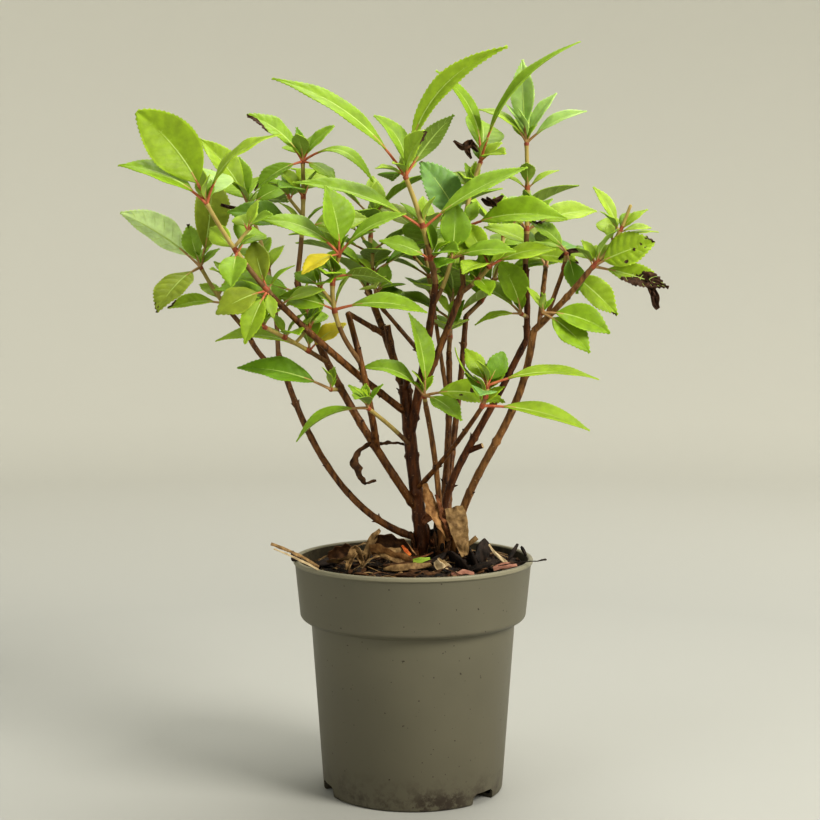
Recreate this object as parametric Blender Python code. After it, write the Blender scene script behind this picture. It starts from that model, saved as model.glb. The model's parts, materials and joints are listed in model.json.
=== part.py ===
"""Panicled hydrangea shrub in its 11 cm nursery pot: pot, potting soil, woody stems and leafy shoots.

The pot stands on the plane Z = 0 with its axis on the Z axis, and the viewer's side is -Y.
Every size is in millimetres and becomes metres where a mesh is made. The woody stems are
tapering limbs that start on the soil or on another stem. Each leafy shoot is one mass: a green
stem that grows on from a limb, with its leaves fused to it. A leaf that would touch a limb or
another leaf is swung aside, then shortened, and left out where neither helps.
"""
import math
import random
from collections import namedtuple

import bmesh
import bpy
from mathutils import Vector, noise
from mathutils.bvhtree import BVHTree

MM = 0.001
GAP = 0.3

# Pot: a turned shell with a stepped collar, a rim bead and three drainage cut-outs at its foot.
POT_HEIGHT = 107.0
POT_FOOT_RADIUS = 41.4
POT_BODY_TOP_RADIUS = 46.9
COLLAR_FOOT_RADIUS = 51.8
RIM_RADIUS = 55.0
COLLAR_HEIGHT = 27.0
WALL = 1.4
FLOOR = 1.8
BEAD_HEIGHT = 2.3
BEAD_DEPTH = 0.8
FOOT_CHAMFER = 0.8
STEP_RISE = 1.4
POT_SIDES = 48
DRAIN_TURNS = (-40.0, 80.0, 200.0)
DRAIN_WIDTH = 15.0
DRAIN_HEIGHT = 5.0
DRAIN_DEPTH = 9.0
DRAIN_OVERCUT = 2.0
DRAIN_ARCH = ((-1.0, 0.0), (1.0, 0.0), (0.93, 0.7), (0.7, 1.0), (-0.7, 1.0), (-0.93, 0.7))

# Potting soil: fills the pot and has a flat crown where the stems stand.
SOIL_EDGE_Z = 100.6
CROWN_Z = 101.7
CROWN_CENTRE = (11.0, 8.0)
CROWN_RADIUS = 21.0
CROWN_SLOPE = 0.035
SOIL_LUMP = 1.3
SOIL_LUMP_SIZE = 9.0
SOIL_CLEARANCE = 0.5
SOIL_RINGS = 7
SOIL_SIDES = 32
STEM_FOOT_Z = CROWN_Z + GAP

# Litter that lies half sunk in the soil: place, turn, length, width, thickness and tilt.
CHIP_OUTLINE = ((-1, -0.5), (-0.7, -1), (0.6, -0.9), (1, -0.3), (0.85, 0.8), (-0.4, 1), (-0.9, 0.6))
Chip = namedtuple("Chip", "x y turn length width thick tilt")
CHIPS = (
    Chip(-7, -33, 4, 21, 6.5, 2.4, 8),
    Chip(-19, -22, -18, 20, 9.0, 2.0, 16),
    Chip(-30, -3, 62, 17, 6.0, 1.8, -12),
    Chip(24, -29, 24, 15, 6.0, 2.2, -10),
    Chip(37, -9, 68, 14, 5.5, 2.2, 10),
    Chip(-33, 18, 120, 13, 6.0, 2.0, 12),
    Chip(2, 38, 12, 16, 6.5, 2.2, 9),
    Chip(31, 28, -40, 14, 6.0, 2.2, -8),
)

# Woody stems: the limb or soil point each starts from, its tip, how far its middle bows from the
# straight line, an S-shaped sway, and its two radii. "at" is a share of the parent's length, or
# the (x, y) of the foot for a stem that stands on the soil.
Limb = namedtuple("Limb", "parent at tip bow sway radii", defaults=((0, 0, 0), (0, 0, 0), (1.5, 1.2)))
FLARE = 0.62
FLARE_HEIGHT = 7.0
LIMBS = {
    "main_stem": Limb(None, (6, 4), (-3.7, 4, 186), (-0.6, 0, 0), radii=(3.2, 2.8)),
    "far_left_stem": Limb("main_stem", 0.15, (-64, 33, 199), (-5, -2, -17), radii=(1.7, 1.4)),
    "far_left_branch": Limb("far_left_stem", 0.93, (-80, 38, 210), (-1.5, 0, -2), radii=(1.4, 1.2)),
    "left_stem": Limb("main_stem", 0.30, (-53, 5, 233), (-5, -9, 0), (0.6, 0, 0), (2.0, 1.5)),
    "middle_left_stem": Limb("left_stem", 0.28, (-29, -14, 219), (1.5, -9, 0), radii=(1.6, 1.3)),
    "front_left_stem": Limb("main_stem", 0.84, (-61, -37, 227), (-2, -3, 0), radii=(1.7, 1.3)),
    "back_left_stem": Limb("main_stem", 0.95, (-22, 40, 230), (0.5, -4, 0), radii=(2.0, 1.5)),
    "back_left_stub": Limb("back_left_stem", 0.36, (-12, 12, 213), radii=(1.7, 1.6)),
    "centre_stem": Limb("main_stem", 0.72, (10, -13, 232), (0.8, -1.5, 0), radii=(2.3, 1.5)),
    "cross_twig": Limb("centre_stem", 0.52, (-15.5, 20, 222), (0, 2, 0), radii=(1.1, 0.9)),
    "centre_right_stem": Limb("centre_stem", 0.24, (22.5, -8, 231), (0.6, -3, 0), radii=(1.8, 1.4)),
    "thin_centre_stem": Limb(None, (13, -1), (5.8, -6.5, 177), (2, 0, 0), radii=(1.4, 1.2)),
    "front_low_branch": Limb("main_stem", 0.42, (29.6, -34, 178), (1, -3, 0), radii=(1.2, 1.0)),
    "front_right_stem": Limb(None, (17.5, 6), (53.9, -13, 211), (0, 0, 0), (-3.4, 0, 0), (1.9, 1.6)),
    "far_right_branch": Limb("front_right_stem", 1.0, (77, -28, 238), (0, 0, -1), radii=(1.5, 1.2)),
    "right_back_branch": Limb("far_right_branch", 0.10, (61, 12, 238), radii=(1.1, 1.1)),
    "right_middle_branch": Limb("far_right_branch", 0.22, (67.2, -11, 238), radii=(1.1, 1.0)),
    "back_right_stem": Limb(None, (12.5, 10.5), (52.7, 16, 206), (-7.5, 3, 0), (-2.5, 0, 0), (1.9, 1.5)),
    "right_upright": Limb("back_right_stem", 1.0, (52, 15, 241), (0.5, 0, 0), radii=(1.5, 1.3)),
    "back_stem": Limb(None, (11, 18), (17.4, 46, 199), (2, -6, 0), radii=(1.7, 1.4)),
    "back_outer_stem": Limb(None, (16.6, 18), (25.8, 52, 216), (-1.5, 2, 0), (-0.8, 0, 0), (1.7, 1.3)),
    "thin_back_stem": Limb("back_stem", 0.72, (10.5, 42, 217), (0, -1, 0), radii=(1.1, 0.9)),
}

# Leaves: "at" is the node's place along the shoot, "turn" the compass direction in plan
# (0 = +X, 90 = away from the viewer), "rise" the climb from node to tip, "length" that distance,
# "face" how far the blade's upper side is turned from the sky towards the viewer, "broad" its
# width to length, "arch" how far its middle stands off the straight line, "bend" the same in the
# blade's own plane, upwards, "blunt" how rounded its tip is, from 0 to 1.
Leaf = namedtuple("Leaf", "at turn rise length face broad arch bend blunt", defaults=(20, 0.48, 0.09, 0, 0))
Shoot = namedtuple("Shoot", "parent at tip bow radii leaves pairs twigs",
                   defaults=((0, 0, 0), (1.2, 0.9), (), 0, 0))
SHOOTS = {
    "leaves_far_left": Shoot("far_left_branch", 1.0, (-101, 36, 240), (-1.5, 1, 0), leaves=(
        Leaf(1, 178, 34, 46, -62, 0.40, 0.09, 0, 0.7),
        Leaf(1, 40, 82, 47, 80, 0.40),
        Leaf(1, 233, -36, 36, 12, 0.52, 0.09, 0, 0.5),
        Leaf(1, 140, 68, 22, 55),
        Leaf(0.42, 195, -5, 27, 35, 0.36),
        Leaf(1, 95, 12, 38),
        Leaf(0.42, 60, 20, 30),
    ), twigs=1),
    "leaves_left_back": Shoot("far_left_stem", 1.0, (-79, 48, 269), (3.2, 0, 0), leaves=(
        Leaf(1, 180, 54, 40, 42, 0.38),
        Leaf(1, 120, 66, 27, 30, 0.36),
        Leaf(1, 18, 28, 24, 50),
        Leaf(1, 60, 6, 34, -30),
        Leaf(1, 100, 18, 42),
        Leaf(0.55, 108, 15, 44),
        Leaf(0.55, -80, -38, 30, 5, 0.46),
        Leaf(0.28, 30, 12, 32),
    ), twigs=1),
    "leaves_upper_left": Shoot("left_stem", 1.0, (-50.5, 11, 288), (1.2, 0, 0), leaves=(
        Leaf(1, 189, 39, 33, 36, 0.42, 0.12, 0, 0.7),
        Leaf(1, -15, 46, 22, 40, 0.44, 0.09, 0, 0.8),
        Leaf(1, 210, -30, 28, 30, 0.39),
        Leaf(1, -37, -27, 22, 15),
        Leaf(1, -14, -17, 35, 24, 0.24, 0.30),
        Leaf(1, 150, 78, 16, 40, 0.30),
        Leaf(1, 92, 16, 38),
        Leaf(0.42, 172, 14, 36, 40),
        Leaf(0.42, 14, 10, 32, 38),
        Leaf(0.70, 82, 24, 34),
        Leaf(0.70, 250, 6, 27, 25),
    ), twigs=1),
    "leaves_front_left": Shoot("front_left_stem", 1.0, (-87.5, -48, 266), (-1, 0, -1), leaves=(
        Leaf(1, 186, 53, 48, 85, 0.47, 0.05, 0.07, 1.0),
        Leaf(1, 189, 23, 40, 34, 0.42, 0.12),
        Leaf(1, -14, 40, 44, 32, 0.40, 0.16),
        Leaf(1, 88, 26, 34),
        Leaf(0.50, -92, -40, 23, 0, 0.55, 0.09, 0, 0.5),
        Leaf(0.50, 80, 20, 32),
        Leaf(0.06, 200, -24, 25, 50, 0.55),
        Leaf(0.06, 232, -58, 27, 28, 0.40),
        Leaf(0.06, 150, 64, 23, 60, 0.52, 0.09, 0, 0.6),
        Leaf(0.06, -58, -66, 13, 20, 0.45),
    ), twigs=1),
    "leaves_low_left": Shoot("left_stem", 0.655, (-65, -32, 213.5), (1, 0, 0), (1.1, 0.9), leaves=(
        Leaf(0.33, 183, 6, 42, 22, 0.36, 0.12),
        Leaf(0.33, 12, 36, 21, 36),
        Leaf(1, 205, 28, 20, 25),
        Leaf(1, 110, 30, 24),
        Leaf(0.70, -70, 5, 22, 10),
    ), twigs=1),
    "leaf_lowest_left": Shoot("left_stem", 0.54, (-37, -13, 185), radii=(1.0, 0.9), leaves=(
        Leaf(1, 184, 13, 43, 46, 0.36, 0.10),
    )),
    "leaves_middle_left": Shoot("middle_left_stem", 0.64, (-32, -35, 245), (-7, 0, 0), leaves=(
        Leaf(1, 216, 76, 30, 84, 0.67),
        Leaf(1, 190, 23, 37, 34, 0.36, 0.14),
        Leaf(1, -17, 29, 35, 32, 0.38, 0.10),
        Leaf(1, 215, -25, 21, 20),
        Leaf(0.80, -15, -6, 26, -35),
        Leaf(0.50, 186, 13, 25, 50),
        Leaf(0.50, 0, -2, 41, 26, 0.36, 0.10),
        Leaf(0.74, -95, 10, 24, 5),
    ), twigs=1),
    "leaves_back_left": Shoot("back_left_stem", 1.0, (-20, 58, 264), (0, 3, 0), pairs=4, twigs=1),
    "leaves_inner_left": Shoot("cross_twig", 1.0, (-19, 27, 246), (-1, 0, 0), (0.9, 0.8), pairs=3),
    "leaves_low_centre": Shoot("main_stem", 0.66, (-20, -25, 177.5), (1, 0, 0), (1.1, 0.9), leaves=(
        Leaf(1, 188, -25, 35, 20, 0.30, 0.15),
        Leaf(1, 100, 60, 12, 40),
        Leaf(1, 255, 15, 20, 15),
    )),
    "leaves_low_middle": Shoot("thin_centre_stem", 1.0, (5, -11, 182), radii=(1.1, 1.0), leaves=(
        Leaf(1, 190, 86, 38, 50, 0.38),
        Leaf(1, 180, 22, 32, 32, 0.40, 0.20),
        Leaf(1, -12, -4, 37, 45, 0.36, 0.13),
        Leaf(1, -52, -20, 28, 18, 0.40),
    )),
    "leaves_centre_top": Shoot("centre_stem", 1.0, (-3.4, -24, 279), (1.5, 0, 0), (1.4, 1.0), leaves=(
        Leaf(1, 180, 36, 72, 36, 0.17, 0.12),
        Leaf(1, -8, 51, 71, 62, 0.15, 0.04, 0.17),
        Leaf(1, 172, 62, 30, 40, 0.40, 0.06, 0.16, 0.8),
        Leaf(1, -16, 50, 34, -50, 0.30),
        Leaf(1, -57, 47, 25, 72, 0.62, 0.09, 0, 0.6),
        Leaf(1, 215, 10, 16, 20),
        Leaf(1, 100, 0, 34),
        Leaf(0.52, 182, 19, 61, 25, 0.24, 0.08),
        Leaf(0.52, -3, 30, 53, 28, 0.28, 0.06),
        Leaf(0.22, 186, 20, 25, 45),
        Leaf(0.22, -60, 8, 24, 20),
    ), twigs=1),
    "leaves_centre_low": Shoot("centre_stem", 0.86, (17, -15, 243), (1, 0, 0), (1.1, 0.9), leaves=(
        Leaf(1, 198, 70, 25, 82, 0.62, 0.09, 0, 0.6),
        Leaf(1, -20, 6, 30, 30),
        Leaf(1, 250, -12, 19, 10),
        Leaf(1, 75, 20, 30),
    )),
    "leaves_top_back": Shoot("centre_right_stem", 1.0, (31, 12, 288), (-3.5, 0, 0), leaves=(
        Leaf(1, 186, 63, 46, 50, 0.20, 0.05, 0.15),
        Leaf(1, -20, 48, 70, 40, 0.16, 0.14),
        Leaf(1, 88, 32, 42),
        Leaf(1, -62, 5, 22, 15),
        Leaf(0.46, -17, 4, 48, 48, 0.40, 0.12),
        Leaf(0.46, 196, 55, 36, 80, 0.52, 0.09, 0, 0.7),
        Leaf(0.74, 92, 18, 38),
        Leaf(0.74, -98, 12, 26, 20),
    ), twigs=2),
    "leaves_right_inner": Shoot("centre_right_stem", 0.94, (34, -17, 240), (1, 0, 0), (1.1, 0.9), leaves=(
        Leaf(1, 150, 60, 24, 52, 0.48),
        Leaf(1, -4, 14, 30, 28),
        Leaf(1, 240, -8, 26, 10),
        Leaf(0.5, -75, -20, 20, 5),
    )),
    "leaves_right_fork": Shoot("right_upright", 0.30, (49.5, 6, 218.5), (0, 0, 0), (1.1, 0.9), leaves=(
        Leaf(1, 200, 66, 26, 76, 0.60, 0.09, 0, 0.9),
        Leaf(1, 186, -14, 22, 30, 0.32, 0.10),
        Leaf(1, 172, 30, 30, 28),
    )),
    "leaves_right_top": Shoot("right_upright", 1.0, (52, 12, 296.5), (0.6, 0, 0), (1.2, 0.9), leaves=(
        Leaf(1, 135, 86, 38, 60, 0.30),
        Leaf(1, -5, 27, 31, 35, 0.30),
        Leaf(1, 10, 58, 27, 30, 0.30),
        Leaf(1, 190, 60, 21, 30, 0.30),
        Leaf(1, 240, 74, 24, 30, 0.30),
        Leaf(1, 180, 34, 27, 25, 0.30, 0.15),
        Leaf(1, 90, 38, 30, 20, 0.32),
        Leaf(0.62, 0, 30, 17, 30, 0.34),
        Leaf(0.62, 184, 24, 15, 30, 0.34),
        Leaf(0.28, 6, 15, 34, 30),
        Leaf(0.28, 196, 42, 22, 55, 0.48),
        Leaf(0.06, -14, -7, 25, 45, 0.46, 0.10),
        Leaf(0.45, 96, 16, 24),
    ), twigs=2),
    "leaves_right_back": Shoot("right_back_branch", 1.0, (64, 36, 244), (0, 2, 0), (1.1, 0.9), leaves=(
        Leaf(0.40, 95, 8, 36),
        Leaf(0.40, 262, 14, 26),
        Leaf(1, 172, 26, 34),
        Leaf(1, 66, 12, 30),
        Leaf(1, 120, 50, 24, 25, 0.36),
    )),
    "leaves_right_middle": Shoot("right_middle_branch", 1.0, (68.5, -12, 246), radii=(1.0, 0.9), leaves=(
        Leaf(1, -60, -66, 20, 5, 0.56, 0.04),
        Leaf(1, 168, 40, 22, 35),
        Leaf(1, 118, 10, 26),
        Leaf(0.12, 0, -48, 32, 62, 0.44, 0.05),
    )),
    "leaves_right_low": Shoot("far_right_branch", 0.30, (57, -25, 219.5), radii=(1.0, 0.9), leaves=(
        Leaf(1, -12, -17, 31, 50, 0.46, 0.14),
        Leaf(1, -34, -38, 28, 40, 0.52),
    )),
    "leaves_far_right": Shoot("far_right_branch", 1.0, (94, -33, 266), (1.5, 0, -2), (1.0, 0.7), leaves=(
        Leaf(0.07, -11, 21, 29, 66, 0.60, 0.07, 0, 0.6),
        Leaf(0.07, -13, -16, 34, 52, 0.35, 0.04),
        Leaf(0.12, 170, 58, 12, 40),
        Leaf(0.12, 100, 10, 26),
        Leaf(0.64, 180, 60, 23, 50, 0.30),
        Leaf(0.64, 0, 46, 16, 40, 0.34),
        Leaf(0.50, -12, 12, 20, 20, 0.30),
        Leaf(0.64, -12, 8, 14, 20),
        Leaf(0.50, 92, 30, 22),
    )),
    "leaves_low_right": Shoot("front_low_branch", 1.0, (32, -36, 188), (0.6, 0, 0), (1.0, 0.9), leaves=(
        Leaf(1, 30, 60, 17, 70, 0.56, 0.09, 0, 0.7),
        Leaf(1, 160, 58, 19, 50, 0.46),
        Leaf(1, 0, 3, 49, 20, 0.25, 0.10),
        Leaf(1, 188, 50, 22, 20, 0.30, -0.15),
        Leaf(0.10, -2, -13, 48, 28, 0.27, 0.07),
        Leaf(0.55, -98, 4, 24, 10),
    )),
    "leaves_back_low": Shoot("back_stem", 1.0, (20, 62, 230), (0, 2, 0), pairs=4),
    "leaves_back_right": Shoot("back_outer_stem", 1.0, (45, 72, 256), (4, 2, -3), pairs=4, twigs=1),
    "leaves_back_middle": Shoot("thin_back_stem", 1.0, (5, 58, 254), (0, 2, 0), (1.0, 0.8), pairs=4, twigs=1),
}

# Rule for a shoot that only states how many leaf pairs it has: crossed pairs, larger near its top.
SEED = 41
PAIR_FIRST_AT = 0.24
PAIR_LENGTHS = (34.0, 47.0)
PAIR_RISES = (2.0, 30.0)
PAIR_TURN = 90.0
AWAY_TURN = 90.0
TOP_LEAF_RISE = 52.0

# Rule for the short side twigs of a shoot: each ends in a crossed pair and a top leaf.
TWIG_SPAN = (0.38, 0.72)
TWIG_TURN = 137.5
TWIG_LENGTHS = (9.0, 13.0)
TWIG_RISE = 48.0
TWIG_RADII = (0.8, 0.7)
TWIG_LEAF_LENGTHS = (14.0, 19.0)
TWIG_LEAF_RISE = 22.0
TWIG_LEAF_TURN = 75.0
TWIG_TOP_RISE = 68.0
TWIG_LEAF_AT = 0.85
TWIG_TRIES = 6

# A leaf: a short petiole and a blade with a V fold, drawn through cross-sections.
PETIOLE_SHARE = 0.19
PETIOLE_WIDTH = 1.3
PETIOLE_THICK = 1.1
WIDER = 1.22
BLADE_BIAS = 0.90
BASE_POWER = 0.92
TIP_SHARPER = 0.26
TIP_BLUNTER = 0.42
BLADE_STATIONS = (0.14, 0.40, 0.66, 0.88)
SMALL_BLADE_STATIONS = (0.20, 0.50, 0.80)
SMALL_LEAF = 40.0
BLADE_THICK_SHARE = 0.018
BLADE_THICK_LEAST = 0.9
FOLDS = (11.0, 26.0)
LEAF_CLEARANCE = 0.45
BLADES = ".blades"
OUTER = ".outer"

# Ways to swing a leaf that is in the way: changes of turn and rise, then the shortened lengths.
SWINGS = (
    (0, 0), (7, 0), (-7, 0), (0, 7), (0, -7), (13, 4), (-13, 4), (13, -6), (-13, -6),
    (0, 14), (0, -14), (20, 0), (-20, 0), (24, 12), (-24, 12), (24, -12), (-24, -12), (0, 24),
)
SHORTENINGS = (1.0, 0.85, 0.7)

STEM_STEP = 9.0
SHOOT_STEP = 13.0
STEM_SIDES = ((2.6, 8), (1.35, 6), (0.0, 5))

POT_GREY = (0.155, 0.150, 0.118, 1.0)
SOIL_BROWN = (0.028, 0.018, 0.013, 1.0)
BARK_BROWN = (0.085, 0.042, 0.026, 1.0)
LEAF_GREEN = (0.20, 0.38, 0.035, 1.0)
LEAF_SHADES = (0.90, 0.97, 1.03, 1.10)
VIEWER = Vector((0, -1, 0))
UP = Vector((0, 0, 1))

Path = namedtuple("Path", "points radii foot")
Blade = namedtuple("Blade", "leaf root direction normal fold")


def clear_scene():
    for old in list(bpy.data.objects):
        bpy.data.objects.remove(old, do_unlink=True)


def material(name, colour, roughness):
    made = bpy.data.materials.new(name)
    made.use_nodes = True
    shader = made.node_tree.nodes["Principled BSDF"]
    shader.inputs["Base Color"].default_value = colour
    shader.inputs["Roughness"].default_value = roughness
    shader.inputs["Metallic"].default_value = 0.0
    return made


def mesh_object(name, points, faces, finish=None):
    """A new object from points in millimetres."""
    mesh = bpy.data.meshes.new(name)
    mesh.from_pydata([Vector(p) * MM for p in points], [], faces)
    mesh.update()
    made = bpy.data.objects.new(name, mesh)
    bpy.context.scene.collection.objects.link(made)
    if finish is not None:
        mesh.materials.append(finish)
    return made


def smooth(target, angle=40):
    target.data.shade_smooth()
    target.data.set_sharp_from_angle(angle=math.radians(angle))


# ---------------------------------------------------------------- paths of limbs and shoots


def path_between(start, foot, member, step, flare=0.0):
    """The centre line and radii from a start point to the member's tip. foot squares its first end."""
    tip = Vector(member.tip)
    bow = Vector(member.bow)
    sway = Vector(getattr(member, "sway", (0, 0, 0)))
    count = max(3, round((tip - start).length / step))
    points, radii = [], []
    for i in range(count + 1):
        t = i / count
        offset = bow * (4 * t * (1 - t)) + sway * math.sin(2 * math.pi * t)
        points.append(start.lerp(tip, t) + offset)
        radius = member.radii[0] + (member.radii[1] - member.radii[0]) * t
        climbed = (points[-1] - start).length
        radii.append(radius * (1 + flare * math.exp(-climbed / FLARE_HEIGHT)))
    return Path(points, radii, foot)


def along(path, share):
    """The point and the direction at a share of a path's steps."""
    place = min(max(share, 0.0), 1.0) * (len(path.points) - 1)
    low = min(int(place), len(path.points) - 2)
    ahead = path.points[low + 1] - path.points[low]
    return path.points[low] + ahead * (place - low), ahead.normalized()


def member_start(member, paths):
    """Where a member's centre line starts, and the direction its first end is cut square to."""
    if member.parent is None:
        return Vector((*member.at, STEM_FOOT_Z)), UP
    point, direction = along(paths[member.parent], member.at)
    if member.at == 1.0:
        return point + direction * GAP, direction
    return point, None


def plan_paths():
    """Every limb's and every shoot's centre line, by name."""
    paths = {}
    for name, limb in LIMBS.items():
        flare = FLARE if limb.parent is None else 0.0
        paths[name] = path_between(*member_start(limb, paths), limb, STEM_STEP, flare)
    for name, shoot in SHOOTS.items():
        paths[name] = path_between(*member_start(shoot, paths), shoot, SHOOT_STEP)
    return paths


def tube(path, fatter=0.0):
    """Points and faces of a closed tube that follows a path."""
    sides = next(count for least, count in STEM_SIDES if path.radii[0] > least)
    ahead = [b - a for a, b in zip(path.points, path.points[1:])]
    last = len(path.points) - 1
    points = []
    across = None
    for i, centre in enumerate(path.points):
        run = (ahead[max(i - 1, 0)] + ahead[min(i, last - 1)]).normalized()
        if i == 0 and path.foot is not None:
            run = path.foot
        if i in (0, last):
            centre = centre + run * (fatter if i else -fatter)
        if across is None:
            across = run.orthogonal()
        across = (across - run * across.dot(run)).normalized()
        beside = run.cross(across)
        for k in range(sides):
            angle = 2 * math.pi * k / sides
            spoke = across * math.cos(angle) + beside * math.sin(angle)
            points.append(centre + spoke * (path.radii[i] + fatter))
    faces = [tuple(reversed(range(sides)))]
    for i in range(last):
        for k in range(sides):
            a = i * sides + k
            b = i * sides + (k + 1) % sides
            faces.append((a, b, b + sides, a + sides))
    faces.append(tuple(range(last * sides, (last + 1) * sides)))
    return points, faces


# ---------------------------------------------------------------- leaves and side twigs


def blade_share(q, blunt):
    """Half-width at a share q of the blade, against its widest."""
    power = BASE_POWER + (TIP_SHARPER - TIP_BLUNTER * blunt) * q
    return WIDER * math.sin(math.pi * q ** BLADE_BIAS) ** power


def compass(turn, rise):
    """The direction at a turn in plan and a climb, both in degrees."""
    turn, rise = math.radians(turn), math.radians(rise)
    return Vector((math.cos(turn) * math.cos(rise), math.sin(turn) * math.cos(rise), math.sin(rise)))


def blade_for(leaf, root, chance):
    """Stand a leaf on its node: the way it points and the way its upper side looks."""
    direction = compass(leaf.turn, leaf.rise)
    skyward = (UP - direction * UP.dot(direction)).normalized()
    sideways = direction.cross(skyward)
    if sideways.dot(VIEWER) < 0:
        sideways = -sideways
    face = math.radians(leaf.face)
    normal = skyward * math.cos(face) + sideways * math.sin(face)
    return Blade(leaf, root, direction, normal, math.radians(chance.uniform(*FOLDS)))


def blade_axis(blade, s):
    """Centre point at a share s of the way from node to tip."""
    leaf = blade.leaf
    hump = 4 * s * (1 - s) * leaf.length
    beside = blade.direction.cross(blade.normal)
    if beside.z < 0:
        beside = -beside
    return (blade.root + blade.direction * (leaf.length * s)
            + blade.normal * (leaf.arch * hump) + beside * (leaf.bend * hump))


def blade_rings(blade, extra=0.0):
    """Four points (right, top, left, under) at each cross-section, node to last station."""
    leaf = blade.leaf
    blade_length = leaf.length * (1 - PETIOLE_SHARE)
    thick = max(BLADE_THICK_LEAST, BLADE_THICK_SHARE * leaf.length) / 2 + extra
    stations = [(0.0, PETIOLE_WIDTH / 2, PETIOLE_THICK / 2, 0.0)]
    stations.append((PETIOLE_SHARE, PETIOLE_WIDTH / 2 + extra, PETIOLE_THICK / 2 + extra, 0.0))
    for q in BLADE_STATIONS if leaf.length > SMALL_LEAF else SMALL_BLADE_STATIONS:
        half = leaf.broad * blade_length / 2 * blade_share(q, leaf.blunt) + extra
        stations.append((PETIOLE_SHARE + (1 - PETIOLE_SHARE) * q, half, thick, blade.fold))
    rings = []
    for s, half, half_thick, fold in stations:
        centre = blade_axis(blade, s)
        run = (blade_axis(blade, s + 0.01) - blade_axis(blade, s - 0.01)).normalized()
        beside = run.cross(blade.normal).normalized()
        upward = beside.cross(run)
        lift = upward * (half * math.sin(fold))
        wide = beside * (half * math.cos(fold))
        rings.append((centre + wide + lift, centre + upward * half_thick,
                      centre - wide + lift, centre - upward * half_thick))
    return rings


def blade_mesh(blade, extra=0.0, first_ring=0):
    """Points and triangles of the closed leaf, from one of its cross-sections to its tip."""
    rings = blade_rings(blade, extra)[first_ring:]
    points = [p for ring in rings for p in ring]
    points.append(blade_axis(blade, 1.0) + blade.direction * extra)
    tip = len(points) - 1
    faces = [(0, 1, 2), (0, 2, 3)]
    for i in range(len(rings) - 1):
        for k in range(4):
            a, b = i * 4 + k, i * 4 + (k + 1) % 4
            faces += [(a, a + 4, b + 4), (a, b + 4, b)]
    last = (len(rings) - 1) * 4
    faces += [(last + k, tip, last + (k + 1) % 4) for k in range(4)]
    return points, faces


def rule_leaves(count, chance):
    """Leaves for a shoot that states only how many pairs it has: crossed pairs and a top leaf."""
    leaves = []
    for i in range(count):
        at = PAIR_FIRST_AT + (1 - PAIR_FIRST_AT) * i / (count - 1)
        for side in (0, 180):
            turn = AWAY_TURN + side + PAIR_TURN * i + chance.uniform(-16, 16)
            length = chance.uniform(*PAIR_LENGTHS) * (0.8 + 0.2 * at)
            rise = PAIR_RISES[0] + (PAIR_RISES[1] - PAIR_RISES[0]) * at + chance.uniform(-5, 5)
            leaves.append(Leaf(at, turn, rise, length, chance.uniform(-10, 30)))
    leaves.append(Leaf(1, AWAY_TURN, TOP_LEAF_RISE, PAIR_LENGTHS[0] * 0.8, 25, 0.36))
    return leaves


def rule_twigs(name, path, claims, chance):
    """Short side twigs, each as its path and its compass direction, clear of everything else."""
    count = SHOOTS[name].twigs
    twigs = []
    for i in range(count):
        at = TWIG_SPAN[0] + (TWIG_SPAN[1] - TWIG_SPAN[0]) * (i + 0.5) / count
        root, _ = along(path, at)
        length = chance.uniform(*TWIG_LENGTHS)
        first_turn = chance.uniform(0, 360)
        for tried in range(TWIG_TRIES):
            turn = first_turn + TWIG_TURN * tried
            reach = compass(turn, TWIG_RISE) * length
            twig = Path([root, root + reach * 0.5, root + reach], [TWIG_RADII[0]] * 2 + [TWIG_RADII[1]], None)
            fat = tube(twig, LEAF_CLEARANCE)
            if not claims.meets(*fat, skip=(name,)):
                twigs.append((twig, turn))
                claims.add(name + BLADES, *tube(twig))
                break
    return twigs


def twig_leaves(turn, chance):
    """The crossed pair and the top leaf of a side twig."""
    leaves = [Leaf(1, turn, TWIG_TOP_RISE, TWIG_LEAF_LENGTHS[0], 30, 0.36)]
    for side in (-TWIG_LEAF_TURN, TWIG_LEAF_TURN):
        length = chance.uniform(*TWIG_LEAF_LENGTHS)
        leaves.append(Leaf(1, turn + side, TWIG_LEAF_RISE, length, chance.uniform(10, 40)))
    return leaves


class Claims:
    """Surfaces already in place, each known by the member that owns it."""

    def __init__(self):
        self.held = []

    @staticmethod
    def box(points):
        low = Vector((min(p[i] for p in points) for i in range(3)))
        high = Vector((max(p[i] for p in points) for i in range(3)))
        return low, high

    def add(self, owner, points, faces):
        self.held.append((owner, *self.box(points), BVHTree.FromPolygons(points, faces)))

    def meets(self, points, faces, skip=()):
        low, high = self.box(points)
        own = None
        for owner, other_low, other_high, tree in self.held:
            if owner in skip:
                continue
            if any(low[i] > other_high[i] or high[i] < other_low[i] for i in range(3)):
                continue
            own = own or BVHTree.FromPolygons(points, faces)
            if own.overlap(tree):
                return True
        return False


def fit_blade(leaf, root, name, claims, chance):
    """The first way of standing a leaf that is clear of everything, or None."""
    fold_chance = chance.random()
    for share in SHORTENINGS:
        for turn, rise in SWINGS:
            tried = leaf._replace(turn=leaf.turn + turn, rise=leaf.rise + rise, length=leaf.length * share)
            blade = blade_for(tried, root, random.Random(fold_chance))
            whole = blade_mesh(blade, LEAF_CLEARANCE)
            if claims.meets(*whole, skip=(name, name + BLADES, name + OUTER)):
                continue
            outer = blade_mesh(blade, LEAF_CLEARANCE, first_ring=2)
            if not claims.meets(*outer, skip=(name + BLADES,)):
                return blade
    return None


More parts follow.
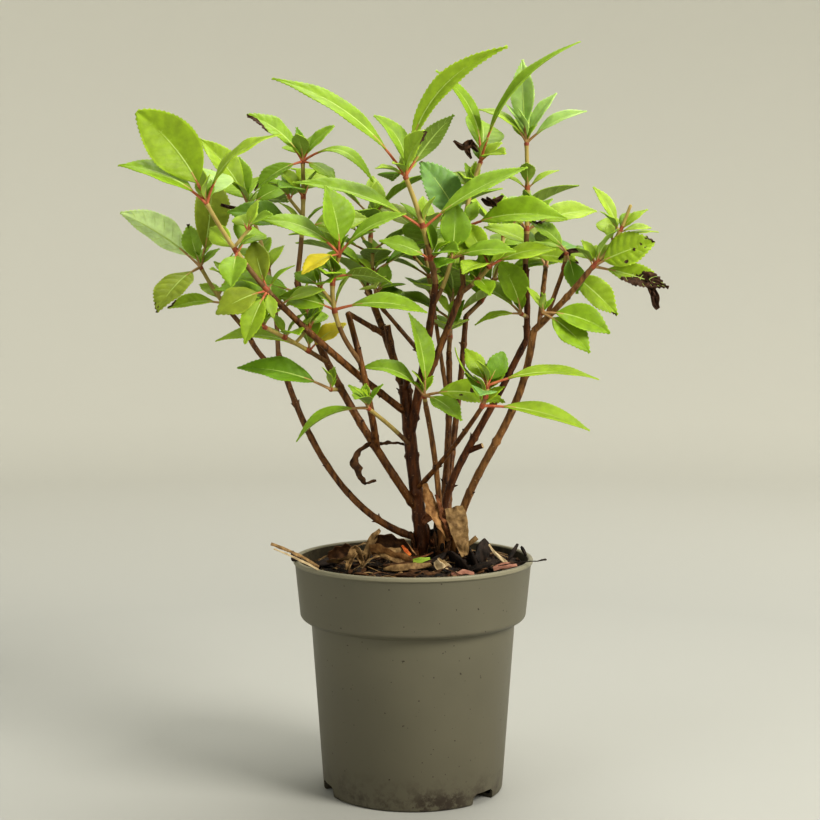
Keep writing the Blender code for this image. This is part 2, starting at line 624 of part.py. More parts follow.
def plan_leaves(paths):
    """Every shoot's blades and side twigs that are clear of the limbs and of one another."""
    claims = Claims()
    pot_points, pot_faces = pot_shell()
    claims.add("pot", pot_points, pot_faces)
    for name in (*LIMBS, *SHOOTS):
        claims.add(name, *tube(paths[name]))
    blades, twigs = {}, {}

    def place(name, leaf, root, chance):
        blade = fit_blade(leaf, root, name, claims, chance)
        if blade is not None:
            blades[name].append(blade)
            claims.add(name + BLADES, *blade_mesh(blade))
            claims.add(name + OUTER, *blade_mesh(blade, first_ring=2))

    for number, (name, shoot) in enumerate(SHOOTS.items()):
        chance = random.Random(SEED + number)
        blades[name] = []
        for leaf in shoot.leaves or rule_leaves(shoot.pairs, chance):
            place(name, leaf, along(paths[name], leaf.at)[0], chance)
    for number, name in enumerate(SHOOTS):
        chance = random.Random(SEED - 1 - number)
        twigs[name] = rule_twigs(name, paths[name], claims, chance)
        for twig, turn in twigs[name]:
            for leaf in twig_leaves(turn, chance):
                place(name, leaf, along(twig, TWIG_LEAF_AT)[0], chance)
    return blades, twigs


# ---------------------------------------------------------------- solids


def evaluated_mesh(target):
    bpy.context.view_layer.update()
    graph = bpy.context.evaluated_depsgraph_get()
    return bpy.data.meshes.new_from_object(target.evaluated_get(graph))


def apply_boolean(target, operation, solver, cutter=None, others=None):
    change = target.modifiers.new(operation.lower(), "BOOLEAN")
    change.operation = operation
    change.solver = solver
    if others is None:
        change.object = cutter
    else:
        change.operand_type = "COLLECTION"
        change.collection = others
    made = evaluated_mesh(target)
    target.modifiers.clear()
    old = target.data
    target.data = made
    bpy.data.meshes.remove(old)


def fuse(target, solids):
    """Join solids, given as points and faces, to an object by one union."""
    others = bpy.data.collections.new(target.name + "_pieces")
    bpy.context.scene.collection.children.link(others)
    for number, solid in enumerate(solids):
        piece = mesh_object(f"{target.name}_piece_{number}", *solid)
        bpy.context.scene.collection.objects.unlink(piece)
        others.objects.link(piece)
    apply_boolean(target, "UNION", "MANIFOLD", others=others)
    for piece in list(others.objects):
        bpy.data.objects.remove(piece, do_unlink=True)
    bpy.data.collections.remove(others)
    keep_largest_shell(target)


def keep_largest_shell(target):
    """Drop loose scrap and sealed hollows: only the shell with the longest box is kept."""
    shape = bmesh.new()
    shape.from_mesh(target.data)
    waiting = set(shape.verts)
    shells = []
    while waiting:
        shell = {waiting.pop()}
        front = list(shell)
        while front:
            for edge in front.pop().link_edges:
                for vert in edge.verts:
                    if vert in waiting:
                        waiting.discard(vert)
                        shell.add(vert)
                        front.append(vert)
        shells.append(shell)
    shells.sort(key=len)
    scrap = [vert for shell in shells[:-1] for vert in shell]
    bmesh.ops.delete(shape, geom=scrap, context="VERTS")
    shape.to_mesh(target.data)
    shape.free()


def seat_on_parent(target, member, paths):
    """Cut a member's foot to a saddle that follows its parent's side, one gap clear."""
    if member.parent is None or member.at == 1.0:
        return
    cutter = mesh_object("saddle_cutter", *tube(paths[member.parent], fatter=GAP))
    apply_boolean(target, "DIFFERENCE", "EXACT", cutter=cutter)
    bpy.data.objects.remove(cutter, do_unlink=True)
    keep_largest_shell(target)


def build_limb(name, paths, finish):
    limb = mesh_object(name, *tube(paths[name]), finish)
    seat_on_parent(limb, LIMBS[name], paths)
    smooth(limb)


def build_shoot(name, paths, blades, twigs, finish):
    """One mass: the shoot's stem with its side twigs and leaves fused on."""
    shoot = mesh_object(name, *tube(paths[name]), finish)
    seat_on_parent(shoot, SHOOTS[name], paths)
    solids = [blade_mesh(blade) for blade in blades] + [tube(twig) for twig, _ in twigs]
    fuse(shoot, solids)
    smooth(shoot, 60)


def turned(profile, sides):
    """Points and faces of a closed solid turned about Z from a closed (radius, z) outline."""
    count = len(profile)
    points = []
    for k in range(sides):
        angle = 2 * math.pi * k / sides
        points += [(r * math.cos(angle), r * math.sin(angle), z) for r, z in profile]
    faces = []
    for k in range(sides):
        here, there = k * count, (k + 1) % sides * count
        for i in range(count):
            j = (i + 1) % count
            faces.append((here + i, there + i, there + j, here + j))
    return points, faces


def pot_cavity():
    """Corners (radius, z) of the pot's cavity, from its mouth down to its floor."""
    step = POT_HEIGHT - COLLAR_HEIGHT
    return [
        (RIM_RADIUS - BEAD_DEPTH - WALL, POT_HEIGHT),
        (COLLAR_FOOT_RADIUS - WALL, step + STEP_RISE),
        (POT_BODY_TOP_RADIUS - WALL, step + STEP_RISE / 2),
        (POT_FOOT_RADIUS - WALL, FLOOR),
    ]


def soil_side():
    """Corners (radius, z) of the soil's side: the cavity's own, one clearance inside it."""
    mouth, *corners = pot_cavity()
    ledge = corners[0]
    share = (SOIL_EDGE_Z - ledge[1]) / (mouth[1] - ledge[1])
    top_radius = ledge[0] + (mouth[0] - ledge[0]) * share
    return [(top_radius - SOIL_CLEARANCE, SOIL_EDGE_Z)] + [
        (radius - SOIL_CLEARANCE, z + SOIL_CLEARANCE) for radius, z in corners]


def pot_shell():
    """The pot's shell without its drainage cut-outs."""
    step = POT_HEIGHT - COLLAR_HEIGHT
    bead_z = POT_HEIGHT - BEAD_HEIGHT
    bead_foot = RIM_RADIUS - BEAD_DEPTH
    profile = [
        (POT_FOOT_RADIUS - FOOT_CHAMFER, 0.0),
        (POT_FOOT_RADIUS, FOOT_CHAMFER),
        (POT_BODY_TOP_RADIUS, step - STEP_RISE),
        (COLLAR_FOOT_RADIUS - STEP_RISE, step - STEP_RISE / 2),
        (COLLAR_FOOT_RADIUS, step + STEP_RISE / 2),
        (bead_foot, bead_z),
        (RIM_RADIUS, bead_z + BEAD_DEPTH / 2),
        (RIM_RADIUS, POT_HEIGHT - BEAD_DEPTH / 2),
        (RIM_RADIUS - BEAD_DEPTH / 2, POT_HEIGHT),
        *pot_cavity(),
    ]
    points, faces = turned(profile, POT_SIDES)
    count = len(profile)
    for height, index in ((0.0, 0), (FLOOR, count - 1)):
        centre = len(points)
        points.append((0.0, 0.0, height))
        for k in range(POT_SIDES):
            here, there = k * count + index, (k + 1) % POT_SIDES * count + index
            faces.append((centre, there, here) if height == 0.0 else (centre, here, there))
    closing = count - 1
    return points, [f for f in faces if not spans(f, closing, count)]


def spans(face, closing, count):
    """Whether a quad is the one that would close the profile from its last point to its first."""
    return len(face) == 4 and {i % count for i in face} == {0, closing}


def drain_cutters():
    """Three wedges with rounded tops where the pot's foot is cut away."""
    outer = POT_FOOT_RADIUS + DRAIN_OVERCUT
    inner = POT_FOOT_RADIUS - DRAIN_DEPTH
    half = DRAIN_WIDTH / 2
    section = [(half * y, DRAIN_HEIGHT * z if z else -DRAIN_OVERCUT) for y, z in DRAIN_ARCH]
    count = len(section)
    points, faces = [], []
    for turn in DRAIN_TURNS:
        base = len(points)
        outward = Vector((math.cos(math.radians(turn)), math.sin(math.radians(turn)), 0))
        beside = UP.cross(outward)
        for reach in (inner, outer):
            points += [outward * reach + beside * y + UP * z for y, z in section]
        faces.append(tuple(base + i for i in reversed(range(count))))
        faces.append(tuple(base + count + i for i in range(count)))
        for i in range(count):
            j = (i + 1) % count
            faces.append((base + i, base + j, base + count + j, base + count + i))
    return points, faces


def build_pot():
    pot = mesh_object("pot", *pot_shell(), material("grey_green_plastic", POT_GREY, 0.55))
    cutter = mesh_object("drain_cutter", *drain_cutters())
    apply_boolean(pot, "DIFFERENCE", "EXACT", cutter=cutter)
    bpy.data.objects.remove(cutter, do_unlink=True)
    smooth(pot)


def soil_height(x, y):
    """Height of the soil: a flat crown under the stems, then a lumpy fall to the pot's wall."""
    away = math.hypot(x - CROWN_CENTRE[0], y - CROWN_CENTRE[1]) - CROWN_RADIUS
    if away <= 0:
        return CROWN_Z
    rough = noise.noise(Vector((x, y, 3.0)) / SOIL_LUMP_SIZE) * SOIL_LUMP * min(1.0, away / 6)
    return max(SOIL_EDGE_Z, CROWN_Z - CROWN_SLOPE * away) + rough


def soil_solid():
    """The soil: a disc of rings for its top, a wall that follows the pot, and a flat floor."""
    points, faces = [], []
    side = soil_side()
    edge = side[0][0]
    for ring in range(1, SOIL_RINGS + 1):
        radius = edge * ring / SOIL_RINGS
        for k in range(SOIL_SIDES):
            angle = 2 * math.pi * k / SOIL_SIDES
            x, y = radius * math.cos(angle), radius * math.sin(angle)
            points.append((x, y, soil_height(x, y) if ring < SOIL_RINGS else SOIL_EDGE_Z))
    for radius, z in side[1:]:
        for k in range(SOIL_SIDES):
            angle = 2 * math.pi * k / SOIL_SIDES
            points.append((radius * math.cos(angle), radius * math.sin(angle), z))
    rings = SOIL_RINGS + len(side) - 1
    for ring in range(rings - 1):
        for k in range(SOIL_SIDES):
            a, b = ring * SOIL_SIDES + k, ring * SOIL_SIDES + (k + 1) % SOIL_SIDES
            faces += [(a, b + SOIL_SIDES, b), (a, a + SOIL_SIDES, b + SOIL_SIDES)]
    for z, ring in ((soil_height(0, 0), 0), (side[-1][1], rings - 1)):
        centre = len(points)
        points.append((0.0, 0.0, z))
        for k in range(SOIL_SIDES):
            a, b = ring * SOIL_SIDES + k, ring * SOIL_SIDES + (k + 1) % SOIL_SIDES
            faces.append((centre, a, b) if ring == 0 else (centre, b, a))
    return points, faces


def chip_solid(chip):
    """A bark chip with cut corners, half sunk in the soil and tilted along its length."""
    half_length, half_width = chip.length / 2, chip.width / 2
    turn, tilt = math.radians(chip.turn), math.radians(chip.tilt)
    ahead = Vector((math.cos(turn) * math.cos(tilt), math.sin(turn) * math.cos(tilt), math.sin(tilt)))
    beside = UP.cross(ahead).normalized()
    above = ahead.cross(beside)
    centre = Vector((chip.x, chip.y, soil_height(chip.x, chip.y) + chip.thick * 0.3))
    points = []
    for side in (-0.5, 0.5):
        points += [centre + ahead * (x * half_length) + beside * (y * half_width)
                   + above * (side * chip.thick) for x, y in CHIP_OUTLINE]
    count = len(CHIP_OUTLINE)
    faces = [tuple(reversed(range(count))), tuple(range(count, 2 * count))]
    for i in range(count):
        j = (i + 1) % count
        faces.append((i, j, count + j, count + i))
    return points, faces


def build_soil():
    """The soil with its bark chips fused on."""
    soil = mesh_object("potting_soil", *soil_solid(), material("potting_soil", SOIL_BROWN, 0.95))
    fuse(soil, [chip_solid(chip) for chip in CHIPS])
    smooth(soil, 30)


def main():
    clear_scene()
    paths = plan_paths()
    blades, twigs = plan_leaves(paths)
    build_pot()
    build_soil()
    bark = material("bark", BARK_BROWN, 0.8)
    for name in LIMBS:
        build_limb(name, paths, bark)
    for number, name in enumerate(SHOOTS):
        shade = LEAF_SHADES[number % len(LEAF_SHADES)]
        leaf_green = material(f"leaf_green_{number}", tuple(c * shade for c in LEAF_GREEN[:3]) + (1.0,), 0.5)
        build_shoot(name, paths, blades[name], twigs[name], leaf_green)


main()
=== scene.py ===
"""Looks of the hydrangea shrub in its nursery pot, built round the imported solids.

Every size is in millimetres and becomes metres where a mesh is made. The plant is grown again by
the rule of its solids, from the same tables and seeds, so each fine leaf lies where its solid is.
It is then carried on to smaller leaves, buds, veins and bark within the same reach.
"""
import json
import math
import random
from collections import namedtuple

import bmesh
import bpy
import numpy as np
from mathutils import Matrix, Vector, noise
from mathutils.bvhtree import BVHTree

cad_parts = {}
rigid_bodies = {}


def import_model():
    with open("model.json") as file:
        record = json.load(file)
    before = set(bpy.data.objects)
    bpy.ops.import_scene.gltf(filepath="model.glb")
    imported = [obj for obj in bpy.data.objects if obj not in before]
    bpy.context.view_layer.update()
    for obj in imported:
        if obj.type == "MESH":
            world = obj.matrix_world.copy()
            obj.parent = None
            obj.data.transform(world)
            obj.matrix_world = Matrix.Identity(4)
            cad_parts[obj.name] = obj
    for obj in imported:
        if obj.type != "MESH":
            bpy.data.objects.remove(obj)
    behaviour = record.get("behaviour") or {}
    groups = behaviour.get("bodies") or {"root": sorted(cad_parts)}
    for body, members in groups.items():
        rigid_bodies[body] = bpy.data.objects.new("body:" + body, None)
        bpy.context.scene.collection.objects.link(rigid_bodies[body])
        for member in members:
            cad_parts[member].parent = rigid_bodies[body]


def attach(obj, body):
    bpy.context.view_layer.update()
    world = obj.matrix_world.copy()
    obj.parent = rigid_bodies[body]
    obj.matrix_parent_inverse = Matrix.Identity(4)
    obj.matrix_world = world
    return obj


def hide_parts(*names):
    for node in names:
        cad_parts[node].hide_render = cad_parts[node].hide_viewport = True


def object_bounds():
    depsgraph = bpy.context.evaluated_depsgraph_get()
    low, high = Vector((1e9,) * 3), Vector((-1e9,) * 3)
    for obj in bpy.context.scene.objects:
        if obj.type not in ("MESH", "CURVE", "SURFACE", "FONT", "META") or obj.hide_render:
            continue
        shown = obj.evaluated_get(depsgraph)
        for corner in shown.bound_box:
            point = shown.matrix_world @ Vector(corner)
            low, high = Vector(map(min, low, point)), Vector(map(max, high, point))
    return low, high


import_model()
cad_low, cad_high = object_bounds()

MM = 0.001
GAP = 0.3

# Pot: a turned shell with a stepped collar, a rim bead and three drainage cut-outs at its foot.
POT_HEIGHT = 107.0
POT_FOOT_RADIUS = 41.4
POT_BODY_TOP_RADIUS = 46.9
COLLAR_FOOT_RADIUS = 51.8
RIM_RADIUS = 55.0
COLLAR_HEIGHT = 27.0
WALL = 1.4
FLOOR = 1.8
BEAD_HEIGHT = 2.3
BEAD_DEPTH = 0.8
STEP_Z = POT_HEIGHT - COLLAR_HEIGHT
BEAD_Z = POT_HEIGHT - BEAD_HEIGHT
FOOT_CHAMFER = 0.8
STEP_RISE = 1.4
POT_SIDES = 48
DRAIN_TURNS = (-40.0, 80.0, 200.0)
DRAIN_WIDTH = 15.0
DRAIN_HEIGHT = 5.0
DRAIN_DEPTH = 9.0
DRAIN_OVERCUT = 2.0
DRAIN_ARCH = ((-1.0, 0.0), (1.0, 0.0), (0.93, 0.7), (0.7, 1.0), (-0.7, 1.0), (-0.93, 0.7))
STEM_FOOT_Z = 102.0

# Woody stems: the limb or soil point each starts from, its tip, how far its middle bows from the
# straight line, an S-shaped sway, and its two radii. "at" is a share of the parent's length, or
# the (x, y) of the foot for a stem that stands on the soil.
Limb = namedtuple("Limb", "parent at tip bow sway radii", defaults=((0, 0, 0), (0, 0, 0), (1.5, 1.2)))
FLARE = 0.62
FLARE_HEIGHT = 7.0
LIMBS = {
    "main_stem": Limb(None, (6, 4), (-3.7, 4, 186), (-0.6, 0, 0), radii=(3.2, 2.8)),
    "far_left_stem": Limb("main_stem", 0.15, (-64, 33, 199), (-5, -2, -17), radii=(1.7, 1.4)),
    "far_left_branch": Limb("far_left_stem", 0.93, (-80, 38, 210), (-1.5, 0, -2), radii=(1.4, 1.2)),
    "left_stem": Limb("main_stem", 0.3, (-53, 5, 233), (-5, -9, 0), (0.6, 0, 0), (2, 1.5)),
    "middle_left_stem": Limb("left_stem", 0.28, (-29, -14, 219), (1.5, -9, 0), radii=(1.6, 1.3)),
    "front_left_stem": Limb("main_stem", 0.84, (-61, -37, 227), (-2, -3, 0), radii=(1.7, 1.3)),
    "back_left_stem": Limb("main_stem", 0.95, (-22, 40, 230), (0.5, -4, 0), radii=(2, 1.5)),
    "back_left_stub": Limb("back_left_stem", 0.36, (-12, 12, 213), radii=(1.7, 1.6)),
    "centre_stem": Limb("main_stem", 0.72, (10, -13, 232), (0.8, -1.5, 0), radii=(2.3, 1.5)),
    "cross_twig": Limb("centre_stem", 0.52, (-15.5, 20, 222), (0, 2, 0), radii=(1.1, 0.9)),
    "centre_right_stem": Limb("centre_stem", 0.24, (22.5, -8, 231), (0.6, -3, 0), radii=(1.8, 1.4)),
    "thin_centre_stem": Limb(None, (13, -1), (5.8, -6.5, 177), (2, 0, 0), radii=(1.4, 1.2)),
    "front_low_branch": Limb("main_stem", 0.42, (29.6, -34, 178), (1, -3, 0), radii=(1.2, 1)),
    "front_right_stem": Limb(None, (17.5, 6), (53.9, -13, 211), (0, 0, 0), (-3.4, 0, 0), (1.9, 1.6)),
    "far_right_branch": Limb("front_right_stem", 1, (77, -28, 238), (0, 0, -1), radii=(1.5, 1.2)),
    "right_back_branch": Limb("far_right_branch", 0.1, (61, 12, 238), radii=(1.1, 1.1)),
    "right_middle_branch": Limb("far_right_branch", 0.22, (67.2, -11, 238), radii=(1.1, 1)),
    "back_right_stem": Limb(None, (12.5, 10.5), (52.7, 16, 206), (-7.5, 3, 0), (-2.5, 0, 0), (1.9, 1.5)),
    "right_upright": Limb("back_right_stem", 1, (52, 15, 241), (0.5, 0, 0), radii=(1.5, 1.3)),
    "back_stem": Limb(None, (11, 18), (17.4, 46, 199), (2, -6, 0), radii=(1.7, 1.4)),
    "back_outer_stem": Limb(None, (16.6, 18), (25.8, 52, 216), (-1.5, 2, 0), (-0.8, 0, 0), (1.7, 1.3)),
    "thin_back_stem": Limb("back_stem", 0.72, (10.5, 42, 217), (0, -1, 0), radii=(1.1, 0.9)),
}

# Leaves: "at" is the node's place along the shoot, "turn" the compass direction in plan
# (0 = +X, 90 = away from the viewer), "rise" the climb from node to tip, "length" that distance,
# "face" how far the blade's upper side is turned from the sky towards the viewer, "broad" its
# width to length, "arch" how far its middle stands off the straight line, "bend" the same in the
# blade's own plane, upwards, "blunt" how rounded its tip is, from 0 to 1.
Leaf = namedtuple("Leaf", "at turn rise length face broad arch bend blunt", defaults=(20, 0.48, 0.09, 0, 0))
Shoot = namedtuple("Shoot", "parent at tip bow radii leaves pairs twigs",
                   defaults=((0, 0, 0), (1.2, 0.9), (), 0, 0))
SHOOTS = {
    "leaves_far_left": Shoot("far_left_branch", 1, (-101, 36, 240), (-1.5, 1, 0), leaves=(
        Leaf(1, 178, 34, 46, -62, 0.4, 0.09, 0, 0.7),
        Leaf(1, 40, 82, 47, 80, 0.4),
        Leaf(1, 233, -36, 36, 12, 0.52, 0.09, 0, 0.5),
        Leaf(1, 140, 68, 22, 55),
        Leaf(0.42, 195, -5, 27, 35, 0.36),
        Leaf(1, 95, 12, 38),
        Leaf(0.42, 60, 20, 30),
    ), twigs=1),
    "leaves_left_back": Shoot("far_left_stem", 1, (-79, 48, 269), (3.2, 0, 0), leaves=(
        Leaf(1, 180, 54, 40, 42, 0.38),
        Leaf(1, 120, 66, 27, 30, 0.36),
        Leaf(1, 18, 28, 24, 50),
        Leaf(1, 60, 6, 34, -30),
        Leaf(1, 100, 18, 42),
        Leaf(0.55, 108, 15, 44),
        Leaf(0.55, -80, -38, 30, 5, 0.46),
        Leaf(0.28, 30, 12, 32),
    ), twigs=1),
    "leaves_upper_left": Shoot("left_stem", 1, (-50.5, 11, 288), (1.2, 0, 0), leaves=(
        Leaf(1, 189, 39, 33, 36, 0.42, 0.12, 0, 0.7),
        Leaf(1, -15, 46, 22, 40, 0.44, 0.09, 0, 0.8),
        Leaf(1, 210, -30, 28, 30, 0.39),
        Leaf(1, -37, -27, 22, 15),
        Leaf(1, -14, -17, 35, 24, 0.24, 0.3),
        Leaf(1, 150, 78, 16, 40, 0.3),
        Leaf(1, 92, 16, 38),
        Leaf(0.42, 172, 14, 36, 40),
        Leaf(0.42, 14, 10, 32, 38),
        Leaf(0.7, 82, 24, 34),
        Leaf(0.7, 250, 6, 27, 25),
    ), twigs=1),
    "leaves_front_left": Shoot("front_left_stem", 1, (-87.5, -48, 266), (-1, 0, -1), leaves=(
        Leaf(1, 186, 53, 48, 85, 0.47, 0.05, 0.07, 1),
        Leaf(1, 189, 23, 40, 34, 0.42, 0.12),
        Leaf(1, -14, 40, 44, 32, 0.4, 0.16),
        Leaf(1, 88, 26, 34),
        Leaf(0.5, -92, -40, 23, 0, 0.55, 0.09, 0, 0.5),
        Leaf(0.5, 80, 20, 32),
        Leaf(0.06, 200, -24, 25, 50, 0.55),
        Leaf(0.06, 232, -58, 27, 28, 0.4),
        Leaf(0.06, 150, 64, 23, 60, 0.52, 0.09, 0, 0.6),
        Leaf(0.06, -58, -66, 13, 20, 0.45),
    ), twigs=1),
    "leaves_low_left": Shoot("left_stem", 0.655, (-65, -32, 213.5), (1, 0, 0), (1.1, 0.9), leaves=(
        Leaf(0.33, 183, 6, 42, 22, 0.36, 0.12),
        Leaf(0.33, 12, 36, 21, 36),
        Leaf(1, 205, 28, 20, 25),
        Leaf(1, 110, 30, 24),
        Leaf(0.7, -70, 5, 22, 10),
    ), twigs=1),
    "leaf_lowest_left": Shoot("left_stem", 0.54, (-37, -13, 185), radii=(1, 0.9), leaves=(
        Leaf(1, 184, 13, 43, 46, 0.36, 0.1),
    )),
    "leaves_middle_left": Shoot("middle_left_stem", 0.64, (-32, -35, 245), (-7, 0, 0), leaves=(
        Leaf(1, 216, 76, 30, 84, 0.67),
        Leaf(1, 190, 23, 37, 34, 0.36, 0.14),
        Leaf(1, -17, 29, 35, 32, 0.38, 0.1),
        Leaf(1, 215, -25, 21, 20),
        Leaf(0.8, -15, -6, 26, -35),
        Leaf(0.5, 186, 13, 25, 50),
        Leaf(0.5, 0, -2, 41, 26, 0.36, 0.1),
        Leaf(0.74, -95, 10, 24, 5),
    ), twigs=1),
    "leaves_back_left": Shoot("back_left_stem", 1, (-20, 58, 264), (0, 3, 0), pairs=4, twigs=1),
    "leaves_inner_left": Shoot("cross_twig", 1, (-19, 27, 246), (-1, 0, 0), (0.9, 0.8), pairs=3),
    "leaves_low_centre": Shoot("main_stem", 0.66, (-20, -25, 177.5), (1, 0, 0), (1.1, 0.9), leaves=(
        Leaf(1, 188, -25, 35, 20, 0.3, 0.15),
        Leaf(1, 100, 60, 12, 40),
        Leaf(1, 255, 15, 20, 15),
    )),
    "leaves_low_middle": Shoot("thin_centre_stem", 1, (5, -11, 182), radii=(1.1, 1), leaves=(
        Leaf(1, 190, 86, 38, 50, 0.38),
        Leaf(1, 180, 22, 32, 32, 0.4, 0.2),
        Leaf(1, -12, -4, 37, 45, 0.36, 0.13),
        Leaf(1, -52, -20, 28, 18, 0.4),
    )),
    "leaves_centre_top": Shoot("centre_stem", 1, (-3.4, -24, 279), (1.5, 0, 0), (1.4, 1), leaves=(
        Leaf(1, 180, 36, 72, 36, 0.17, 0.12),
        Leaf(1, -8, 51, 71, 62, 0.15, 0.04, 0.17),
        Leaf(1, 172, 62, 30, 40, 0.4, 0.06, 0.16, 0.8),
        Leaf(1, -16, 50, 34, -50, 0.3),
        Leaf(1, -57, 47, 25, 72, 0.62, 0.09, 0, 0.6),
        Leaf(1, 215, 10, 16, 20),
        Leaf(1, 100, 0, 34),
        Leaf(0.52, 182, 19, 61, 25, 0.24, 0.08),
        Leaf(0.52, -3, 30, 53, 28, 0.28, 0.06),
        Leaf(0.22, 186, 20, 25, 45),
        Leaf(0.22, -60, 8, 24, 20),
    ), twigs=1),
    "leaves_centre_low": Shoot("centre_stem", 0.86, (17, -15, 243), (1, 0, 0), (1.1, 0.9), leaves=(
        Leaf(1, 198, 70, 25, 82, 0.62, 0.09, 0, 0.6),
        Leaf(1, -20, 6, 30, 30),
        Leaf(1, 250, -12, 19, 10),
        Leaf(1, 75, 20, 30),
    )),
    "leaves_top_back": Shoot("centre_right_stem", 1, (31, 12, 288), (-3.5, 0, 0), leaves=(
        Leaf(1, 186, 63, 46, 50, 0.2, 0.05, 0.15),
        Leaf(1, -20, 48, 70, 40, 0.16, 0.14),
        Leaf(1, 88, 32, 42),
        Leaf(1, -62, 5, 22, 15),
        Leaf(0.46, -17, 4, 48, 48, 0.4, 0.12),
        Leaf(0.46, 196, 55, 36, 80, 0.52, 0.09, 0, 0.7),
        Leaf(0.74, 92, 18, 38),
        Leaf(0.74, -98, 12, 26, 20),
    ), twigs=2),
    "leaves_right_inner": Shoot("centre_right_stem", 0.94, (34, -17, 240), (1, 0, 0), (1.1, 0.9), leaves=(
        Leaf(1, 150, 60, 24, 52, 0.48),
        Leaf(1, -4, 14, 30, 28),
        Leaf(1, 240, -8, 26, 10),
        Leaf(0.5, -75, -20, 20, 5),
    )),
    "leaves_right_fork": Shoot("right_upright", 0.3, (49.5, 6, 218.5), (0, 0, 0), (1.1, 0.9), leaves=(
        Leaf(1, 200, 66, 26, 76, 0.6, 0.09, 0, 0.9),
        Leaf(1, 186, -14, 22, 30, 0.32, 0.1),
        Leaf(1, 172, 30, 30, 28),
    )),
    "leaves_right_top": Shoot("right_upright", 1, (52, 12, 296.5), (0.6, 0, 0), (1.2, 0.9), leaves=(
        Leaf(1, 135, 86, 38, 60, 0.3),
        Leaf(1, -5, 27, 31, 35, 0.3),
        Leaf(1, 10, 58, 27, 30, 0.3),
        Leaf(1, 190, 60, 21, 30, 0.3),
        Leaf(1, 240, 74, 24, 30, 0.3),
        Leaf(1, 180, 34, 27, 25, 0.3, 0.15),
        Leaf(1, 90, 38, 30, 20, 0.32),
        Leaf(0.62, 0, 30, 17, 30, 0.34),
        Leaf(0.62, 184, 24, 15, 30, 0.34),
        Leaf(0.28, 6, 15, 34, 30),
        Leaf(0.28, 196, 42, 22, 55, 0.48),
        Leaf(0.06, -14, -7, 25, 45, 0.46, 0.1),
        Leaf(0.45, 96, 16, 24),
    ), twigs=2),
    "leaves_right_back": Shoot("right_back_branch", 1, (64, 36, 244), (0, 2, 0), (1.1, 0.9), leaves=(
        Leaf(0.4, 95, 8, 36),
        Leaf(0.4, 262, 14, 26),
        Leaf(1, 172, 26, 34),
        Leaf(1, 66, 12, 30),
        Leaf(1, 120, 50, 24, 25, 0.36),
    )),
    "leaves_right_middle": Shoot("right_middle_branch", 1, (68.5, -12, 246), radii=(1, 0.9), leaves=(
        Leaf(1, -60, -66, 20, 5, 0.56, 0.04),
        Leaf(1, 168, 40, 22, 35),
        Leaf(1, 118, 10, 26),
        Leaf(0.12, 0, -48, 32, 62, 0.44, 0.05),
    )),
    "leaves_right_low": Shoot("far_right_branch", 0.3, (57, -25, 219.5), radii=(1, 0.9), leaves=(
        Leaf(1, -12, -17, 31, 50, 0.46, 0.14),
        Leaf(1, -34, -38, 28, 40, 0.52),
    )),
    "leaves_far_right": Shoot("far_right_branch", 1, (94, -33, 266), (1.5, 0, -2), (1, 0.7), leaves=(
        Leaf(0.07, -11, 21, 29, 66, 0.6, 0.07, 0, 0.6),
        Leaf(0.07, -13, -16, 34, 52, 0.35, 0.04),
        Leaf(0.12, 170, 58, 12, 40),
        Leaf(0.12, 100, 10, 26),
        Leaf(0.64, 180, 60, 23, 50, 0.3),
        Leaf(0.64, 0, 46, 16, 40, 0.34),
        Leaf(0.5, -12, 12, 20, 20, 0.3),
        Leaf(0.64, -12, 8, 14, 20),
        Leaf(0.5, 92, 30, 22),
    )),
    "leaves_low_right": Shoot("front_low_branch", 1, (32, -36, 188), (0.6, 0, 0), (1, 0.9), leaves=(
        Leaf(1, 30, 60, 17, 70, 0.56, 0.09, 0, 0.7),
        Leaf(1, 160, 58, 19, 50, 0.46),
        Leaf(1, 0, 3, 49, 20, 0.25, 0.1),
        Leaf(1, 188, 50, 22, 20, 0.3, -0.15),
        Leaf(0.1, -2, -13, 48, 28, 0.27, 0.07),
        Leaf(0.55, -98, 4, 24, 10),
    )),
    "leaves_back_low": Shoot("back_stem", 1, (20, 62, 230), (0, 2, 0), pairs=4),
    "leaves_back_right": Shoot("back_outer_stem", 1, (45, 72, 256), (4, 2, -3), pairs=4, twigs=1),
    "leaves_back_middle": Shoot("thin_back_stem", 1, (5, 58, 254), (0, 2, 0), (1, 0.8), pairs=4, twigs=1),
}

# Rule for a shoot that only states how many leaf pairs it has: crossed pairs, larger near its top.
SEED = 41
PAIR_FIRST_AT = 0.24
PAIR_LENGTHS = (34.0, 47.0)
PAIR_RISES = (2.0, 30.0)
PAIR_TURN = 90.0
PAIR_TURN_SPREAD = 16.0
PAIR_RISE_SPREAD = 5.0
PAIR_FACES = (-10.0, 30.0)
PAIR_LEAST = 0.8
AWAY_TURN = 90.0
TOP_LEAF_RISE = 52.0

# Rule for the short side twigs of a shoot: each ends in a crossed pair and a top leaf.
TWIG_SPAN = (0.38, 0.72)
TWIG_TURN = 137.5
TWIG_LENGTHS = (9.0, 13.0)
TWIG_RISE = 48.0
TWIG_RADII = (0.8, 0.7)
TWIG_LEAF_LENGTHS = (14.0, 19.0)
TWIG_LEAF_RISE = 22.0
TWIG_LEAF_TURN = 75.0
TWIG_TOP_RISE = 68.0
TWIG_LEAF_AT = 0.85
TWIG_TRIES = 6

